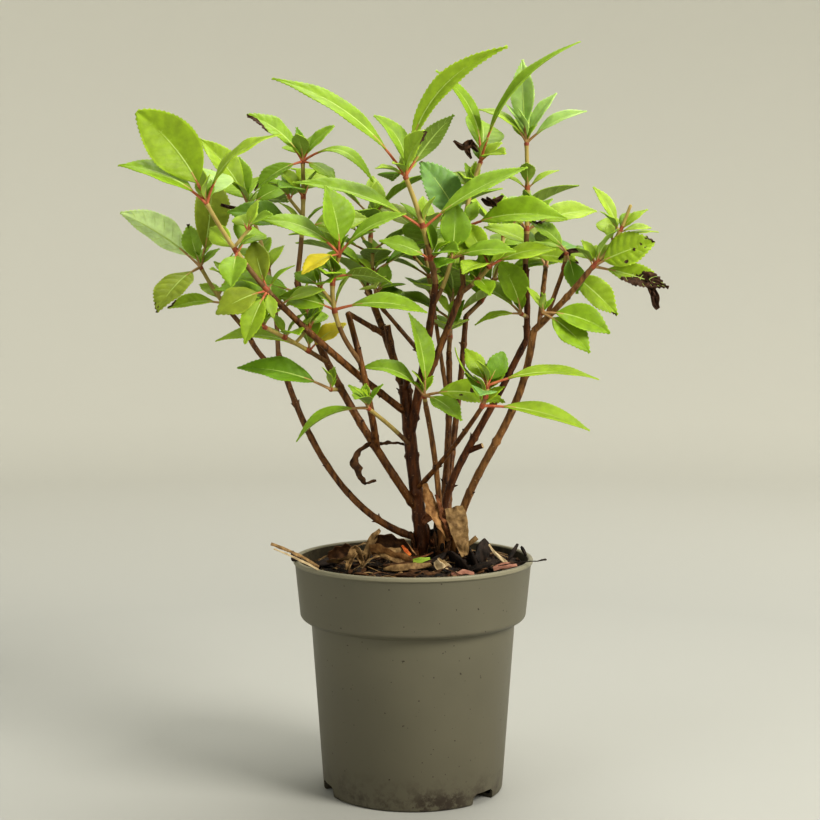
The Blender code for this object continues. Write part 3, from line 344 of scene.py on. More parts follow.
# A leaf: a short petiole and a blade with a V fold, drawn through cross-sections.
PETIOLE_SHARE = 0.19
PETIOLE_WIDTH = 1.3
PETIOLE_THICK = 1.1
WIDER = 1.22
BLADE_BIAS = 0.90
BASE_POWER = 0.92
TIP_SHARPER = 0.26
TIP_BLUNTER = 0.42
BLADE_STATIONS = (0.14, 0.40, 0.66, 0.88)
SMALL_BLADE_STATIONS = (0.20, 0.50, 0.80)
SMALL_LEAF = 40.0
BLADE_THICK_SHARE = 0.018
BLADE_THICK_LEAST = 0.9
FOLDS = (11.0, 26.0)
LEAF_CLEARANCE = 0.45
BLADES = ".blades"
OUTER = ".outer"
OUTER_RING = 2

# Ways to swing a leaf that is in the way: changes of turn and rise, then the shortened lengths.
SWINGS = (
    (0, 0), (7, 0), (-7, 0), (0, 7), (0, -7), (13, 4), (-13, 4), (13, -6), (-13, -6),
    (0, 14), (0, -14), (20, 0), (-20, 0), (24, 12), (-24, 12), (24, -12), (-24, -12), (0, 24),
)
SHORTENINGS = (1.0, 0.85, 0.7)

# Steps along the coarse stems and shoots, and the sides of a tube from each radius up.
STEM_STEP = 9.0
SHOOT_STEP = 13.0
STEM_SIDES = ((2.6, 8), (1.35, 6), (0.0, 5))

# Finer growth, in scene only: leaflets in the axils, bud leaves at the tips, leaves on the limbs.
AXIL_LENGTHS = (9.0, 20.0)
AXIL_RISES = (30.0, 70.0)
AXIL_MOST_FACE = 60.0
TIP_LEAVES = 4
TIP_LENGTHS = (7.0, 14.0)
TIP_RISES = (58.0, 84.0)
TIP_FACE = 30.0
TIP_BROAD = 0.32
LIMB_LEAF_FROM_Z = 221.0
LIMB_LEAF_SPACING = 13.0
LIMB_LEAF_LENGTHS = (20.0, 37.0)
LIMB_LEAF_RISES = (5.0, 50.0)
LIMB_MOST_FACE = 50.0
LIMB_LEAF_TO_X = 8.0
FINE_SEED = 900
BARE_ENDED = ("leaves_far_right", "leaves_right_middle", "leaves_right_back")
NO_AXIL_LEAVES = ("leaves_right_middle", "leaves_right_back", "leaves_right_low", "leaves_right_fork")

# Fine blade: a grid of rows along it and columns across it, with teeth on every other row.
MANY_COLUMNS = (-1.0, -0.93, -0.80, -0.66, -0.52, -0.38, -0.24, -0.11, 0.0,
                0.11, 0.24, 0.38, 0.52, 0.66, 0.80, 0.93, 1.0)
MANY_COLUMNS_OVER = 25.0
COLUMNS = (-1.0, -0.93, -0.68, -0.44, -0.21, 0.0, 0.21, 0.44, 0.68, 0.93, 1.0)
FEW_COLUMNS = (-1.0, -0.9, -0.5, 0.0, 0.5, 0.9, 1.0)
FEW_COLUMNS_UNDER = 18.0
ROWS_FOR_EACH_MM = 1.0
ROWS = (10, 52)
LAST_ROW = 0.985
BLADE_THICK = 0.36
EDGE_THICK = 0.22
TOOTH = 0.42
TOOTH_LEAF = 40.0
LEAST_HALF_WIDTH = 0.45
MARGIN_FROM = 0.93
CREASE = 0.05
CURLS = (-0.02, 0.14)
RIPPLES = (0.01, 0.07)
WAVES = 2.4
TWIST = 16.0
VEINS = 6
VEINS_FROM = 0.07
VEINS_TO = 0.86
VEIN_SWEEP = 0.13
VEIN_POWER = 1.4
QUILT = 0.1248
QUILT_POWER = 0.8
VEIN_RADII = (0.21, 0.12)
VEIN_STOPS = (0.0, 0.2, 0.45, 0.7, 0.9)
VEINED_FROM = 20.0
RIB_RADII = (0.82, 0.60, 0.13)
RIB_SIDES = 6
RIB_FLAT = 0.85
RIB_TO = 0.97
RIB_LEAF = 34.0
RIB_LEAST = 0.08
RIB_CORAL_TO = 0.18
RIB_BLUSH_TO = 0.28

# Bark's noise: streaks, pale specks and fine grain.
BARK_STREAKS = 620
BARK_STREAK_STRETCH = (1, 1, 0.22)
BARK_STREAK_SPAN = (0.34, 0.66)
BARK_SPECKS = 1500
BARK_SPECK_SPAN = (0.66, 0.72)
BARK_GRAIN = 2300
BARK_GRAIN_STRETCH = (1, 1, 0.4)
BARK_ROUGH = (0.34, 0.60)
BARK_RELIEF = (0.4, 0.2)

# Bark relief: swollen nodes with a pair of leaf scars, long ridges and fine roughness.
BARK_STEP = 1.5
BARK_SIDES = ((2.2, 22), (1.3, 16), (0.0, 12))
NODE_SPACING = (10.0, 19.0)
FIRST_NODES = (4.0, 10.0)
NODE_TWIST = 0.3
NODE_SWELL = 0.10
NODE_WIDTH = 0.9
SCAR_SWELL = 0.26
SCAR_WIDTH = 0.8
SCAR_SPAN = 0.55
RIDGE = 0.08
RIDGE_GIRTH = 1.3
RIDGE_SCALE = 1.6
RIDGE_PITCH = 0.16
ROUGHNESS = 0.044
ROUGHNESS_SCALE = 5.0
ROUGHNESS_AWAY = Vector((0, 0, 9))
COLLAR_SWELL = 0.35
COLLAR_WIDTH = 2.6

# Soil and its crumbs. Lumps: height, layer and pitch of a noise. Mounds: x, y, height and reach.
SOIL_LEVEL = 100.9
SOIL_RING_COUNT = 46
SOIL_SECTORS = 132
SOIL_LUMPS = ((1.5, 3.0, 0.16), (0.9, 8.0, 0.45), (0.5, 5.0, 1.1))
MOUNDS = ((4.0, -9.0, 4.6, 25.0), (30.0, 13.0, 4.2, 21.0))
SOIL_DEPTH = 9.0
SOIL_ROOM = 0.35
CRUMBS = 1300
CRUMB_SIZES = (0.5, 1.5)
CRUMB_ROUGH = (0.65, 1.35)
CRUMB_SHARES = (5, 6, 0.5)
FLAKES = 190
FLAKE_LENGTHS = (2.0, 8.5)


def scaled(tint, share):
    return tuple(min(channel * share, 1.0) for channel in tint[:3]) + (1.0,)


# Finishes. A noise is its lumps in a metre, then its detail; a span is the part of a noise over
# which one look turns into the other.
DRY_SPECULAR = 0.22
LEAF_SPECULAR = 0.25
BARK_SPECULAR = 0.24
LEAF_GLOW = 0.35
LEAF_GLOW_TINT = (1.0, 1.0, 0.25)
LEAF_GLOW_DEPTH = 0.9
LEAF_MOTTLE = (0.84, 1.12)
LEAF_LUMPS = 240
LEAF_RELIEF = (0.45, 0.22)
UPPER_ROUGH = (0.44, 0.62)
UNDER_ROUGH = (0.50, 0.65)
MARGIN_PALER = 1.22
MOTTLE_SPAN = (0.32, 0.68)
GRAIN_SPAN = (0.3, 0.7)
FINE_GRAIN = 3.7
MIX_SHARE, MIX_FIRST, MIX_SECOND, MIX_RESULT = 0, 6, 7, 2
POT_GREY = (0.115, 0.107, 0.073, 1.0)
# A darker tone of the pot: its outside turns towards it the lower it is, and the inner wall is mottled from
# it.
POT_DARK_TONE = (0.058, 0.048, 0.028, 1.0)
POT_DARKENS_BELOW = 74.0
POT_DARKENING_MOST = 0.42
DIRT_BROWN = (0.030, 0.020, 0.012, 1.0)
DIRT_TOP = 17.0
DIRT_PATCH = (("X", -4.0, 4.0), ("X", 27.0, 20.0), ("Y", -30.0, -34.0), ("Z", 11.0, 6.0))
# Painted highlight along the rim's top: the pot's grey is painted paler there, starting at the first height
# and at full strength from the second.
RIM_HIGHLIGHT_FROM = 104.4
RIM_HIGHLIGHT_FULL = 105.6
RIM_HIGHLIGHT_SHARE = 1.8
POT_CLOUDS = (28, 3)
POT_CLOUD_SHADES = (0.93, 1.07)
POT_SPECKS = (620, 1)
POT_SPECK_SPAN = (0.750, 0.775)
POT_BLOTS = (330, 3)
POT_BLOT_SPAN = (0.745, 0.765)
POT_PATCHES = (150, 5)
FOOT_DIRT_SPAN = (0.48, 0.66)
PATCH_SPAN = (0.42, 0.52)
PATCH_MOST = 0.9
POT_ROUGH = (0.42, 0.56)
POT_GRAIN = (2600, 2)
POT_RELIEF = (0.12, 0.08)
Tint = namedtuple("Tint", "top under share")
TINTS = {
    "fresh": Tint((0.236, 0.347, 0.017, 1.0), (0.236, 0.321, 0.058, 1.0), 0.24),
    "grass": Tint((0.200, 0.321, 0.021, 1.0), (0.215, 0.306, 0.063, 1.0), 0.17),
    "lime": Tint((0.275, 0.393, 0.035, 1.0), (0.268, 0.367, 0.073, 1.0), 0.10),
    "green": Tint((0.192, 0.311, 0.010, 1.0), (0.215, 0.296, 0.043, 1.0), 0.20),
    "moss": Tint((0.160, 0.273, 0.013, 1.0), (0.192, 0.275, 0.047, 1.0), 0.13),
    "deep": Tint((0.122, 0.234, 0.009, 1.0), (0.172, 0.253, 0.040, 1.0), 0.07),
    "olive": Tint((0.215, 0.273, 0.023, 1.0), (0.220, 0.267, 0.047, 1.0), 0.06),
    # The pale tint's under side is partly painted light: a paler green, raised further to stand in for light
    # shining through the leaf.
    "pale": Tint((0.304, 0.449, 0.126, 1.0), (0.525, 0.673, 0.310, 1.0), 0.012),
    "sea": Tint((0.147, 0.273, 0.068, 1.0), (0.169, 0.273, 0.081, 1.0), 0.012),
    "yellow": Tint((0.504, 0.428, 0.029, 1.0), (0.452, 0.388, 0.058, 1.0), 0.006),
}

# Finishes mottled by one noise: two colours, its lumps in a metre, the roughness from one to the
# other, the relief's strength and depth, and the noise's stretch.
Finish = namedtuple("Finish", "dark light scale rough bump stretch", defaults=(None, (1, 1, 1)))
WOOD_GRAIN = (1, 1, 0.25)
FINISHES = {
    "leaf_burnt": Finish((0.020, 0.011, 0.007, 1), (0.090, 0.042, 0.020, 1), 700, (0.6, 0.85), (0.6, 0.3)),
    "rib_coral": Finish((0.360, 0.090, 0.042, 1), (0.540, 0.190, 0.090, 1), 500, (0.4, 0.6)),
    "rib_blush": Finish((0.400, 0.260, 0.090, 1), (0.480, 0.350, 0.120, 1), 500, (0.4, 0.6)),
    "rib_pale": Finish((0.340, 0.480, 0.110, 1), (0.440, 0.560, 0.160, 1), 500, (0.4, 0.6)),
    "rib_tan": Finish((0.300, 0.170, 0.070, 1), (0.440, 0.280, 0.120, 1), 500, (0.4, 0.6)),
    "cut_wood": Finish((0.300, 0.190, 0.090, 1), (0.560, 0.420, 0.240, 1), 900, (0.7, 0.9), (0.5, 0.2)),
    "dry_scale": Finish((0.018, 0.010, 0.007, 1), (0.075, 0.038, 0.022, 1), 900, (0.6, 0.85), (0.6, 0.2)),
    "young_bark": Finish((0.110, 0.052, 0.022, 1), (0.230, 0.130, 0.050, 1), 700, (0.45, 0.65), (0.4, 0.2),
                         WOOD_GRAIN),
    "young_stem": Finish((0.300, 0.220, 0.070, 1), (0.430, 0.340, 0.110, 1), 500, (0.4, 0.55), (0.3, 0.15),
                         WOOD_GRAIN),
    "young_node": Finish((0.200, 0.045, 0.025, 1), (0.330, 0.100, 0.040, 1), 700, (0.4, 0.55)),
    "inner_wall_plastic": Finish(scaled(POT_DARK_TONE, 0.55), scaled(POT_DARK_TONE, 1.2), 260, (0.55, 0.8), (0.3, 0.2)),
    "dark_soil": Finish((0.008, 0.006, 0.005, 1), (0.046, 0.030, 0.020, 1), 420, (0.75, 0.95), (0.9, 0.5)),
    "brown_crumb": Finish((0.024, 0.014, 0.009, 1), (0.105, 0.060, 0.032, 1), 500, (0.7, 0.95), (0.8, 0.3)),
    "pale_crumb": Finish((0.150, 0.105, 0.060, 1), (0.300, 0.220, 0.130, 1), 500, (0.7, 0.9), (0.6, 0.3)),
}
YOUNG_TINTS = ("lime", "fresh", "grass", "green", "moss")
LEAF_TINTS = {
    # The first far-left leaf shows its under side in the pale tint, which holds painted light.
    "leaves_far_left": {0: "pale", 1: "olive", 2: "olive", 4: "fresh"},
    "leaves_front_left": {0: "fresh", 1: "green", 2: "fresh"},
    "leaf_lowest_left": {0: "deep"},
    # The fifth leaf of leaves_centre_top takes the bright lime tint as painted light, lifting it out of the
    # shade it lies in.
    "leaves_centre_top": {0: "green", 1: "fresh", 2: "grass", 3: "deep", 4: "lime", 7: "grass", 8: "grass"},
    "leaves_top_back": {0: "green", 1: "green", 5: "sea"},
    "leaves_middle_left": {0: "grass", 1: "grass", 2: "grass", 3: "yellow", 4: "green", 6: "green"},
    "leaves_low_left": {0: "fresh", 1: "yellow"},
    "leaves_right_middle": {0: "deep", 1: "grass", 3: "fresh"},
    "leaves_right_low": {0: "green", 1: "green"},
    "leaves_right_fork": {0: "green", 1: "fresh"},
    "leaves_low_right": {2: "fresh", 4: "fresh"},
    "leaves_low_middle": {0: "grass", 1: "grass", 2: "fresh", 3: "grass"},
    "leaves_upper_left": {0: "grass", 1: "grass", 4: "green"},
}

SHOOT_TINTS = {
    "leaves_right_top": ("lime", "lime", "fresh", "pale"),
    "leaves_far_right": ("lime", "fresh", "fresh"),
    "leaves_right_inner": ("green", "fresh"),
    "leaves_top_back": ("green", "fresh", "fresh"),
}

# Burnt leaves: the share of the blade from which they are brown, how much sooner that is towards
# the side v = 1, and brown spots (q, v, reach). FINE_SPLIT times as many rows and columns show it.
Burn = namedtuple("Burn", "start lean spots", defaults=(0.0, ()))
BURNS = {
    "leaves_far_left": {2: Burn(0.95, 0.1), 3: Burn(0.92), 4: Burn(0.93, 0.2)},
    "leaves_upper_left": {0: Burn(1.12, -0.62), 2: Burn(0.97, 0.2)},
    "leaves_far_right": {
        0: Burn(0.97, -0.1, (
            (0.60, 0.10, 0.022), (0.74, -0.15, 0.026), (0.80, 0.30, 0.020), (0.42, 0.72, 0.026))),
        1: Burn(0.46, 0.22),
    },
    "leaves_right_top": {11: Burn(0.9, 0.1)},
    "leaves_right_middle": {1: Burn(0.80, 0.2), 3: Burn(1.02, 0.12)},
    "leaves_low_middle": {
        2: Burn(1.5, 0.0, ((0.52, -0.20, 0.055), (0.60, 0.05, 0.040), (0.36, 0.45, 0.030))),
    },
    "leaves_centre_top": {4: Burn(0.93, 0.1)},
    "leaves_top_back": {5: Burn(0.97, 0.1)},
}
FINE_SPLIT = 2
BURN_COLUMNS = 33
BURN_EDGE = 0.13
BURN_CRUMPLE = 1.1
BURN_RAGGED = (9.0, 2.5)
CRUMPLE_PITCH = (14.0, 3.0)
SPOT_SQUASH = 0.25
SPOT_RAGGED = 0.12

# Withered leaflets, black and crumpled: spots and widths of a strip.
WITHERED = (
    (((29.5, 6, 292), (26, 5, 295.5), (22.5, 5, 294), (18.5, 6, 297)), (1, 4.2, 3.4, 1)),
    (((26.5, 6, 289), (24.6, 5, 293), (26.8, 4, 297.4)), (1, 3.2, 0.8)),
    (((40.4, -4, 271.8), (37, -5, 268.8), (33.6, -4, 268.4), (30.8, -3, 270.4)), (1, 3.8, 3, 0.8)),
    (((37.3, -4, 264.4), (36.2, -5, 267.6), (33, -4, 271)), (0.8, 2.8, 0.8)),
    (((66.5, 6, 243.4), (70.6, 5, 246.2), (75, 5, 246.6), (78.4, 6, 244.2)), (0.8, 3.2, 3.6, 1)),
    (((100.6, -36, 235), (102.4, -36, 231), (104.4, -36, 227), (104.8, -36, 223.4),
      (106, -36, 221.4)), (0.8, 3.2, 4, 3.4, 2)),
    (((-90.5, 30, 269.2), (-86, 31, 268), (-80.5, 33, 267.2)), (1.4, 1.9, 1.2)),
)
WITHERED_SEED = 53

# Shoots with coral petioles; elsewhere they are a dull tan.
CORAL_SHOOTS = ("leaves_front_left", "leaves_upper_left", "leaves_middle_left", "leaves_centre_top",
                "leaves_top_back", "leaves_low_left", "leaves_low_right", "leaves_right_inner")

# Stems: what each limb's bark is, which end in a pale cut, and cut spurs (share, tip, radius).
BARK_TONES = {
    "bark_dark": ((0.026, 0.007, 0.002, 1), (0.130, 0.043, 0.010, 1), (0.300, 0.175, 0.085, 1)),
    "bark_brown": ((0.042, 0.014, 0.004, 1), (0.200, 0.084, 0.022, 1), (0.360, 0.235, 0.120, 1)),
    "bark_light": ((0.080, 0.033, 0.010, 1), (0.300, 0.145, 0.046, 1), (0.440, 0.310, 0.170, 1)),
}
BARK_OF = {
    "main_stem": 0, "centre_stem": 0, "back_right_stem": 0, "right_upright": 0, "front_right_stem": 2,
    "far_right_branch": 2, "right_back_branch": 2, "right_middle_branch": 2, "thin_centre_stem": 2,
    "thin_back_stem": 2,
}
CUT_LIMBS = ("main_stem", "back_left_stub", "cross_twig")
SPURS = {
    "back_left_stem": ((0.55, (-30.2, 14, 218.6), 1.2),),
    "far_left_branch": ((0.86, (-80.6, 36, 212.6), 1.2),),
    "main_stem": ((0.97, (-2.6, -3.5, 189.5), 1.5),),
    "back_right_stem": ((0.50, (32.4, 13.5, 157.0), 1.3),),
}
SPUR_FOOT = 1.2
BUD_SHARE = 0.5
BUD_LENGTHS = (1.0, 2.2)
BUD_LEANS = (0.4, 1.4)
BUD_RADII = (0.55, 0.42, 0.10)
BUD_SIDES = 6
SHOOT_FINE_STEP = 1.3
SHOOT_SIDES = 10
SHOOT_NODE_WIDTH = 1.5
SHOOT_NODE_SWELL = 0.32
SHOOT_NODE_TINTED = 0.45
BROWN_TO = {"leaves_far_right": 0.05, "leaves_right_top": 0.25}
BROWN_TO_ELSEWHERE = 0.35

# Fine pot.
FINE_POT_SIDES = 144
POT_ROUNDING = 1.1
INNER_WALL_WITHIN = RIM_RADIUS - BEAD_DEPTH - WALL / 2

# Litter. The finishes, then strips (dry leaves, straw) and chips by place.
LITTER_FINISHES = (
    ("litter_dark", (0.006, 0.005, 0.004, 1), (0.034, 0.022, 0.016, 1), 300),
    ("litter_brown", (0.026, 0.011, 0.005, 1), (0.125, 0.060, 0.024, 1), 420),
    ("litter_tan", (0.110, 0.062, 0.024, 1), (0.330, 0.215, 0.095, 1), 420),
    ("litter_pale", (0.300, 0.220, 0.120, 1), (0.560, 0.450, 0.280, 1), 260),
    ("litter_orange", (0.330, 0.070, 0.014, 1), (0.540, 0.170, 0.035, 1), 260),
    ("litter_green", (0.190, 0.300, 0.030, 1), (0.330, 0.430, 0.060, 1), 260),
    ("litter_pink", (0.250, 0.110, 0.075, 1), (0.420, 0.220, 0.150, 1), 260),
    ("litter_rust", (0.075, 0.024, 0.008, 1), (0.260, 0.110, 0.045, 1), 420),
    ("litter_gold", (0.110, 0.044, 0.012, 1), (0.430, 0.240, 0.095, 1), 340),
)
DARK, BROWN, TAN, PALE, ORANGE, GREEN, PINK, RUST, GOLD = range(9)
LITTER_ROUGH = (0.60, 0.85)
LITTER_RELIEF = (0.6, 0.3)
STRIP_STEP = 0.8
STRIP_COLUMNS = 9
STRIP_PITCH = (0.28, 1.7)
STRIP_LEAST_ROLL = 0.01
CHIP_CORNERS = 9
CHIP_POWER = 3.5
CHIP_ROUGH = (0.86, 1.04)
CHIP_JOG = 0.05
CHIP_LAYERS = ((-1, 0.88), (-0.55, 1.0), (0.55, 1.0), (1, 0.88))
FIBRES = 70
FIBRE_LENGTHS = (8.0, 20.0)
COLLAR_SHARDS = 40
SOIL_SEED = 17
LITTER_SEED = 29
Strip = namedtuple("Strip", "spots widths facing roll crumple slots")
STRIPS = (
    # The curled leaf that hangs from the main stem.
    Strip(((-4.2, 2, 158.9), (-14.6, -2, 159.3), (-23.2, -6, 156.9), (-25.9, -8, 148), (-22.3, -8, 141.6),
          (-16.8, -7, 143.3)), (1.2, 2.8, 5, 7, 5, 1.4), (0.1, 0.3, 1), 1.1, 0.6, (BROWN, BROWN)),
    # The dead leaf wrapped round the right-hand stems.
    Strip(((5.4, -6, 141.5), (7, -9, 136), (9.2, -11, 130.5), (13.2, -12, 124), (16.4, -10, 116.5)),
          (2, 5.6, 7.4, 6.2, 3.4), (0.5, -1, 0.5), -1.2, 0.9, (GOLD, RUST)),
    Strip(((10.5, -9, 137), (12.6, -11, 130), (15.4, -12, 123), (16.8, -10, 117)),
          (1.4, 3, 3.6, 2), (0.8, -1, 0.2), -1, 0.8, (RUST, BROWN)),
    Strip(((4.5, -6, 124), (8, -8, 127), (11, -9, 126), (12, -9, 121)), (3, 5, 5, 2),
          (0.1, -1, 0.3), 0.9, 0.7, (RUST, BROWN)),
    Strip(((18.4, -10, 131.4), (19.6, -12, 127.4), (20.8, -13, 121.5), (22.2, -13, 115.5),
          (23.4, -12, 109.5)), (8.6, 9.6, 8.4, 6.4, 3.4), (0.2, -1, 0.1), -0.45, 0.8, (TAN, TAN)),
    Strip(((23.5, -9, 112.5), (26, -10, 115), (29, -10, 117.5)), (1.6, 2.2, 2.6), (0, -1, 0.4), 1,
          0.3, (TAN, BROWN)),
    # The big rolled leaf in front of the stems.
    Strip(((-17.5, -11, 111), (-12, -13, 111.5), (-5.5, -15, 109.5), (0.5, -16, 107.5)),
          (15, 22, 21, 9), (-0.7, -0.5, 1), 2.3, 1.3, (BROWN, GOLD)),
    Strip(((-15.5, -17, 113.5), (-11.5, -19, 112), (-6, -19, 110.5), (-1.5, -18, 108.5)),
          (2, 6.5, 7.5, 3), (0.2, -1, 0.7), -1, 0.9, (TAN, BROWN)),
    # Orange and green scraps beside it.
    Strip(((-5, -17, 115), (-3.2, -19, 113), (-1.2, -20, 111)), (0.9, 2.2, 1.6), (0.4, -1, 0.5),
          -0.6, 0.4, (ORANGE, RUST)),
    Strip(((0.2, -19, 110), (3, -20, 110), (6, -19, 110.8), (9, -18, 112)),
          (0.7, 0.9, 0.8, 0.5), (0, -1, 0.4), -0.4, 0.3, (RUST, ORANGE)),
    Strip(((0, -21, 108.6), (3.5, -22, 109.2), (7.6, -21, 109.8)), (1.6, 2.8, 1), (0, -1, 0.5), -0.4,
          0.3, (GREEN, GREEN)),
    # The pale scrap and the pink ones right of the wood chip.
    Strip(((10.2, -24, 109.5), (12.6, -24, 107), (15.8, -23, 105.6), (18.2, -22, 104.8)),
          (3.5, 6, 5, 1.2), (0.1, -1, 0.8), -0.5, 1.2, (PALE, TAN)),
    Strip(((17, -29, 103.9), (22, -30, 104.9), (27, -29, 104.5)), (2.2, 3, 1.8), (0, -0.6, 1), 0.5,
          0.5, (PINK, BROWN)),
    Strip(((36, -20, 104.6), (41, -20, 106.2), (46.5, -18, 106.2)), (2.6, 4, 2), (0, -0.6, 1), 0.6,
          0.4, (PINK, PINK)),
    # The pale split root on the right.
    Strip(((34.5, -8, 114), (37, -9, 110.5), (41.8, -12, 106.5), (43.4, -13, 104.4)),
          (1, 1.3, 2, 0.8), (0.2, -1, 0.4), -0.6, 0.3, (PALE, TAN)),
    # Rolled tan leaves on the left.
    Strip(((-38, -10, 106.5), (-33.5, -12, 108), (-28.5, -14, 109.5), (-24, -15, 110.5)),
          (6, 13, 15, 8), (-0.2, -0.9, 0.9), 2, 1.1, (BROWN, TAN)),
    Strip(((-29.5, -18, 104), (-28, -18, 109), (-25.8, -18, 113), (-23.8, -17, 110),
          (-22.5, -17, 105.5)), (2, 3.5, 5, 4, 2), (-0.3, -1, 0.1), 1, 0.7, (TAN, BROWN)),
    Strip(((-23, -18, 105), (-18.5, -19, 109.5), (-13.5, -18, 110.5), (-10, -18, 107.5),
          (-11.5, -19, 104)), (1, 1.4, 1.6, 1.4, 0.8), (0, -0.2, 1), 0.5, 0.4, (TAN, PALE)),
    Strip(((-43, -8, 106.5), (-36, -10, 110.5), (-28.5, -10, 112.5), (-21, -9, 115)),
          (0.7, 1.3, 1.5, 0.9), (0, -0.2, 1), 0.5, 0.4, (TAN, PALE)),
    Strip(((-21.5, -11, 108), (-19.5, -11, 114), (-17, -11, 119), (-15, -10, 121)),
          (4, 4.5, 3.5, 1.2), (-0.6, -1, 0.2), -0.9, 0.7, (TAN, BROWN)),
    # Straw that leans over the left rim.
    Strip(((-62.5, -34, 118.3), (-56, -34, 115.8), (-49, -33, 112.4), (-41.5, -32, 107.8)),
          (1.8, 2.1, 2.1, 1.2), (0.2, -0.5, 1), 0.5, 0.2, (TAN, PALE)),
    Strip(((-61, -36, 116.6), (-54, -36, 113.6), (-47, -35, 109.9), (-40, -34, 106)),
          (1, 1.2, 1.3, 0.9), (0.1, -0.6, 1), 0.5, 0.2, (PALE, TAN)),
    # The thin dark twig that leans over the right rim.
    Strip(((38, -22, 106.5), (48, -23, 108.4), (55, -22, 108.6), (59.5, -21, 109)),
          (0.8, 0.9, 1, 2.2), (0, 0, 1), 1.4, 0.1, (DARK, DARK)),
)
CHIPS = (
    # Place, turn, rise, roll, size and finish.
    ((-2.2, -22, 106), 4, 4, 75, (22.5, 3.6, 2.6), TAN),
    ((-2, -21, 107.6), 4, 4, 8, (23, 3, 1), BROWN),
    ((1.5, -29, 104), 2, 2, 35, (22, 2.6, 1.2), BROWN),
    ((-54.2, -12, 109.6), 110, 40, 20, (5.5, 2.4, 1.2), DARK),
    ((-53, -12.5, 108.2), 20, 10, 0, (4.5, 3, 1.6), DARK),
    ((46, -2, 109.5), 40, 48, 40, (9, 2.2, 1.4), DARK),
    ((51, 2, 109.4), 120, 42, 0, (6, 1.4, 1), DARK),
    ((26, -6, 108.5), 120, 42, 70, (20, 10, 1.4), DARK),
    ((21, -14, 106.5), 140, 30, 55, (17, 9, 1.2), DARK),
    ((32, -4, 110.5), 60, 25, 70, (14, 8, 1.3), DARK),
    ((30.5, -17, 105.5), -30, 18, 20, (14, 6, 1.2), DARK),
    ((11, -12, 108), 30, 22, 10, (12, 5, 1.4), DARK),
    ((-4, -9, 108.5), 150, 24, 20, (11, 5, 1.4), DARK),
    ((-38, 4, 104.5), 20, 12, 20, (14, 6, 1.4), DARK),
    ((20, 20, 103.5), 70, 8, 10, (13, 6, 1.6), BROWN),
    ((-14, 26, 102.8), 160, 6, -10, (12, 7, 1.6), BROWN),
    ((0, 38, 102.4), 10, 5, 10, (15, 5, 1.4), DARK),
    ((-30, 26, 102.4), 50, 10, 0, (10, 4, 1.2), TAN),
    ((33, 22, 102.8), 130, 8, 12, (11, 5, 1.3), BROWN),
)

# Stage, in metres.
STAGE_RADIUS = 1.9
STAGE_CURVE = 0.7
STAGE_HEIGHT = 2.4
STAGE_SIDES = 96
CURVE_STEPS = 12
WALL_PALE = (0.550, 0.545, 0.490, 1.0)
FLOOR_PALE = (0.360, 0.362, 0.335, 1.0)
PALER_FROM = 0.45
PALER_TO = 1.45
LIGHT_AIM = Vector((0.0, 0.0, 0.19))
LIGHTS = (
    ("key_light", (1.05, -0.80, 1.05), 0.75, 27.0, (1.0, 0.965, 0.90)),
    ("fill_light", (-1.2, -0.95, 0.75), 1.0, 4.5, (0.96, 0.97, 1.0)),
    ("top_light", (0.2, 0.4, 1.5), 0.9, 14.0, (1.0, 0.98, 0.93)),
)
WORLD_PALE = (0.88, 0.87, 0.82, 1.0)
WORLD_STRENGTH = 0.68
CAMERA_PLACE = (-0.0014, -0.750, 0.2337)
CAMERA_DIP = 4.5
CAMERA_LENS = 72.3
CAMERA_SENSOR = 36.0

VIEWER = Vector((0, -1, 0))
UP = Vector((0, 0, 1))

Path = namedtuple("Path", "points radii foot")
Blade = namedtuple("Blade", "leaf root direction normal fold")


# ---- pieces and finishes


def in_scene(name, data):
    """A new object, linked into the scene."""
    made = bpy.data.objects.new(name, data)
    bpy.context.scene.collection.objects.link(made)
    return made


class Piece:
    """Points, faces and finishes of one piece, gathered in millimetres before it becomes a mesh."""

    def __init__(self, name, slot, finishes):
        self.name = name
        self.slot = slot
        self.finishes = finishes
        self.points = []
        self.faces = []
        self.slots = []
        self.count = 0

    def add(self, points, faces, slots=0):
        """slots is one finish number for all the faces, or one for each."""
        self.points.append(np.asarray([tuple(p) for p in points], float))
        self.faces += [tuple(i + self.count for i in face) for face in faces]
        self.slots += [slots] * len(faces) if isinstance(slots, int) else list(slots)
        self.count += len(points)

    def build(self, sharp=60, replaces=()):
        mesh = bpy.data.meshes.new(self.name)
        mesh.from_pydata((np.concatenate(self.points) * MM).tolist(), [], self.faces)
        mesh.polygons.foreach_set("material_index", np.array(self.slots, np.int32))
        for finish in self.finishes:
            mesh.materials.append(finish)
        mesh.update()
        mesh.shade_smooth()
        mesh.set_sharp_from_angle(angle=math.radians(sharp))
        made = in_scene(self.name, mesh)
        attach(made, "root")
        if replaces:
            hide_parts(*replaces)
        return made


def new_finish(name):
    made = bpy.data.materials.new(name)
    made.use_nodes = True
    return made, made.node_tree, made.node_tree.nodes["Principled BSDF"]


def feed(tree, node, inputs):
    """Give a node its inputs, each a plain value or another node's output."""
    for name, source in inputs.items():
        if isinstance(source, bpy.types.NodeSocket):
            tree.links.new(source, node.inputs[name])
        else:
            node.inputs[name].default_value = source


def add_node(tree, kind, inputs=None, **settings):
    node = tree.nodes.new(f"ShaderNode{kind}")
    for name, value in settings.items():
        setattr(node, name, value)
    feed(tree, node, inputs or {})
    return node


def place_node(tree):
    """Coordinates in the row's own frame."""
    return add_node(tree, "TexCoord").outputs["Object"]


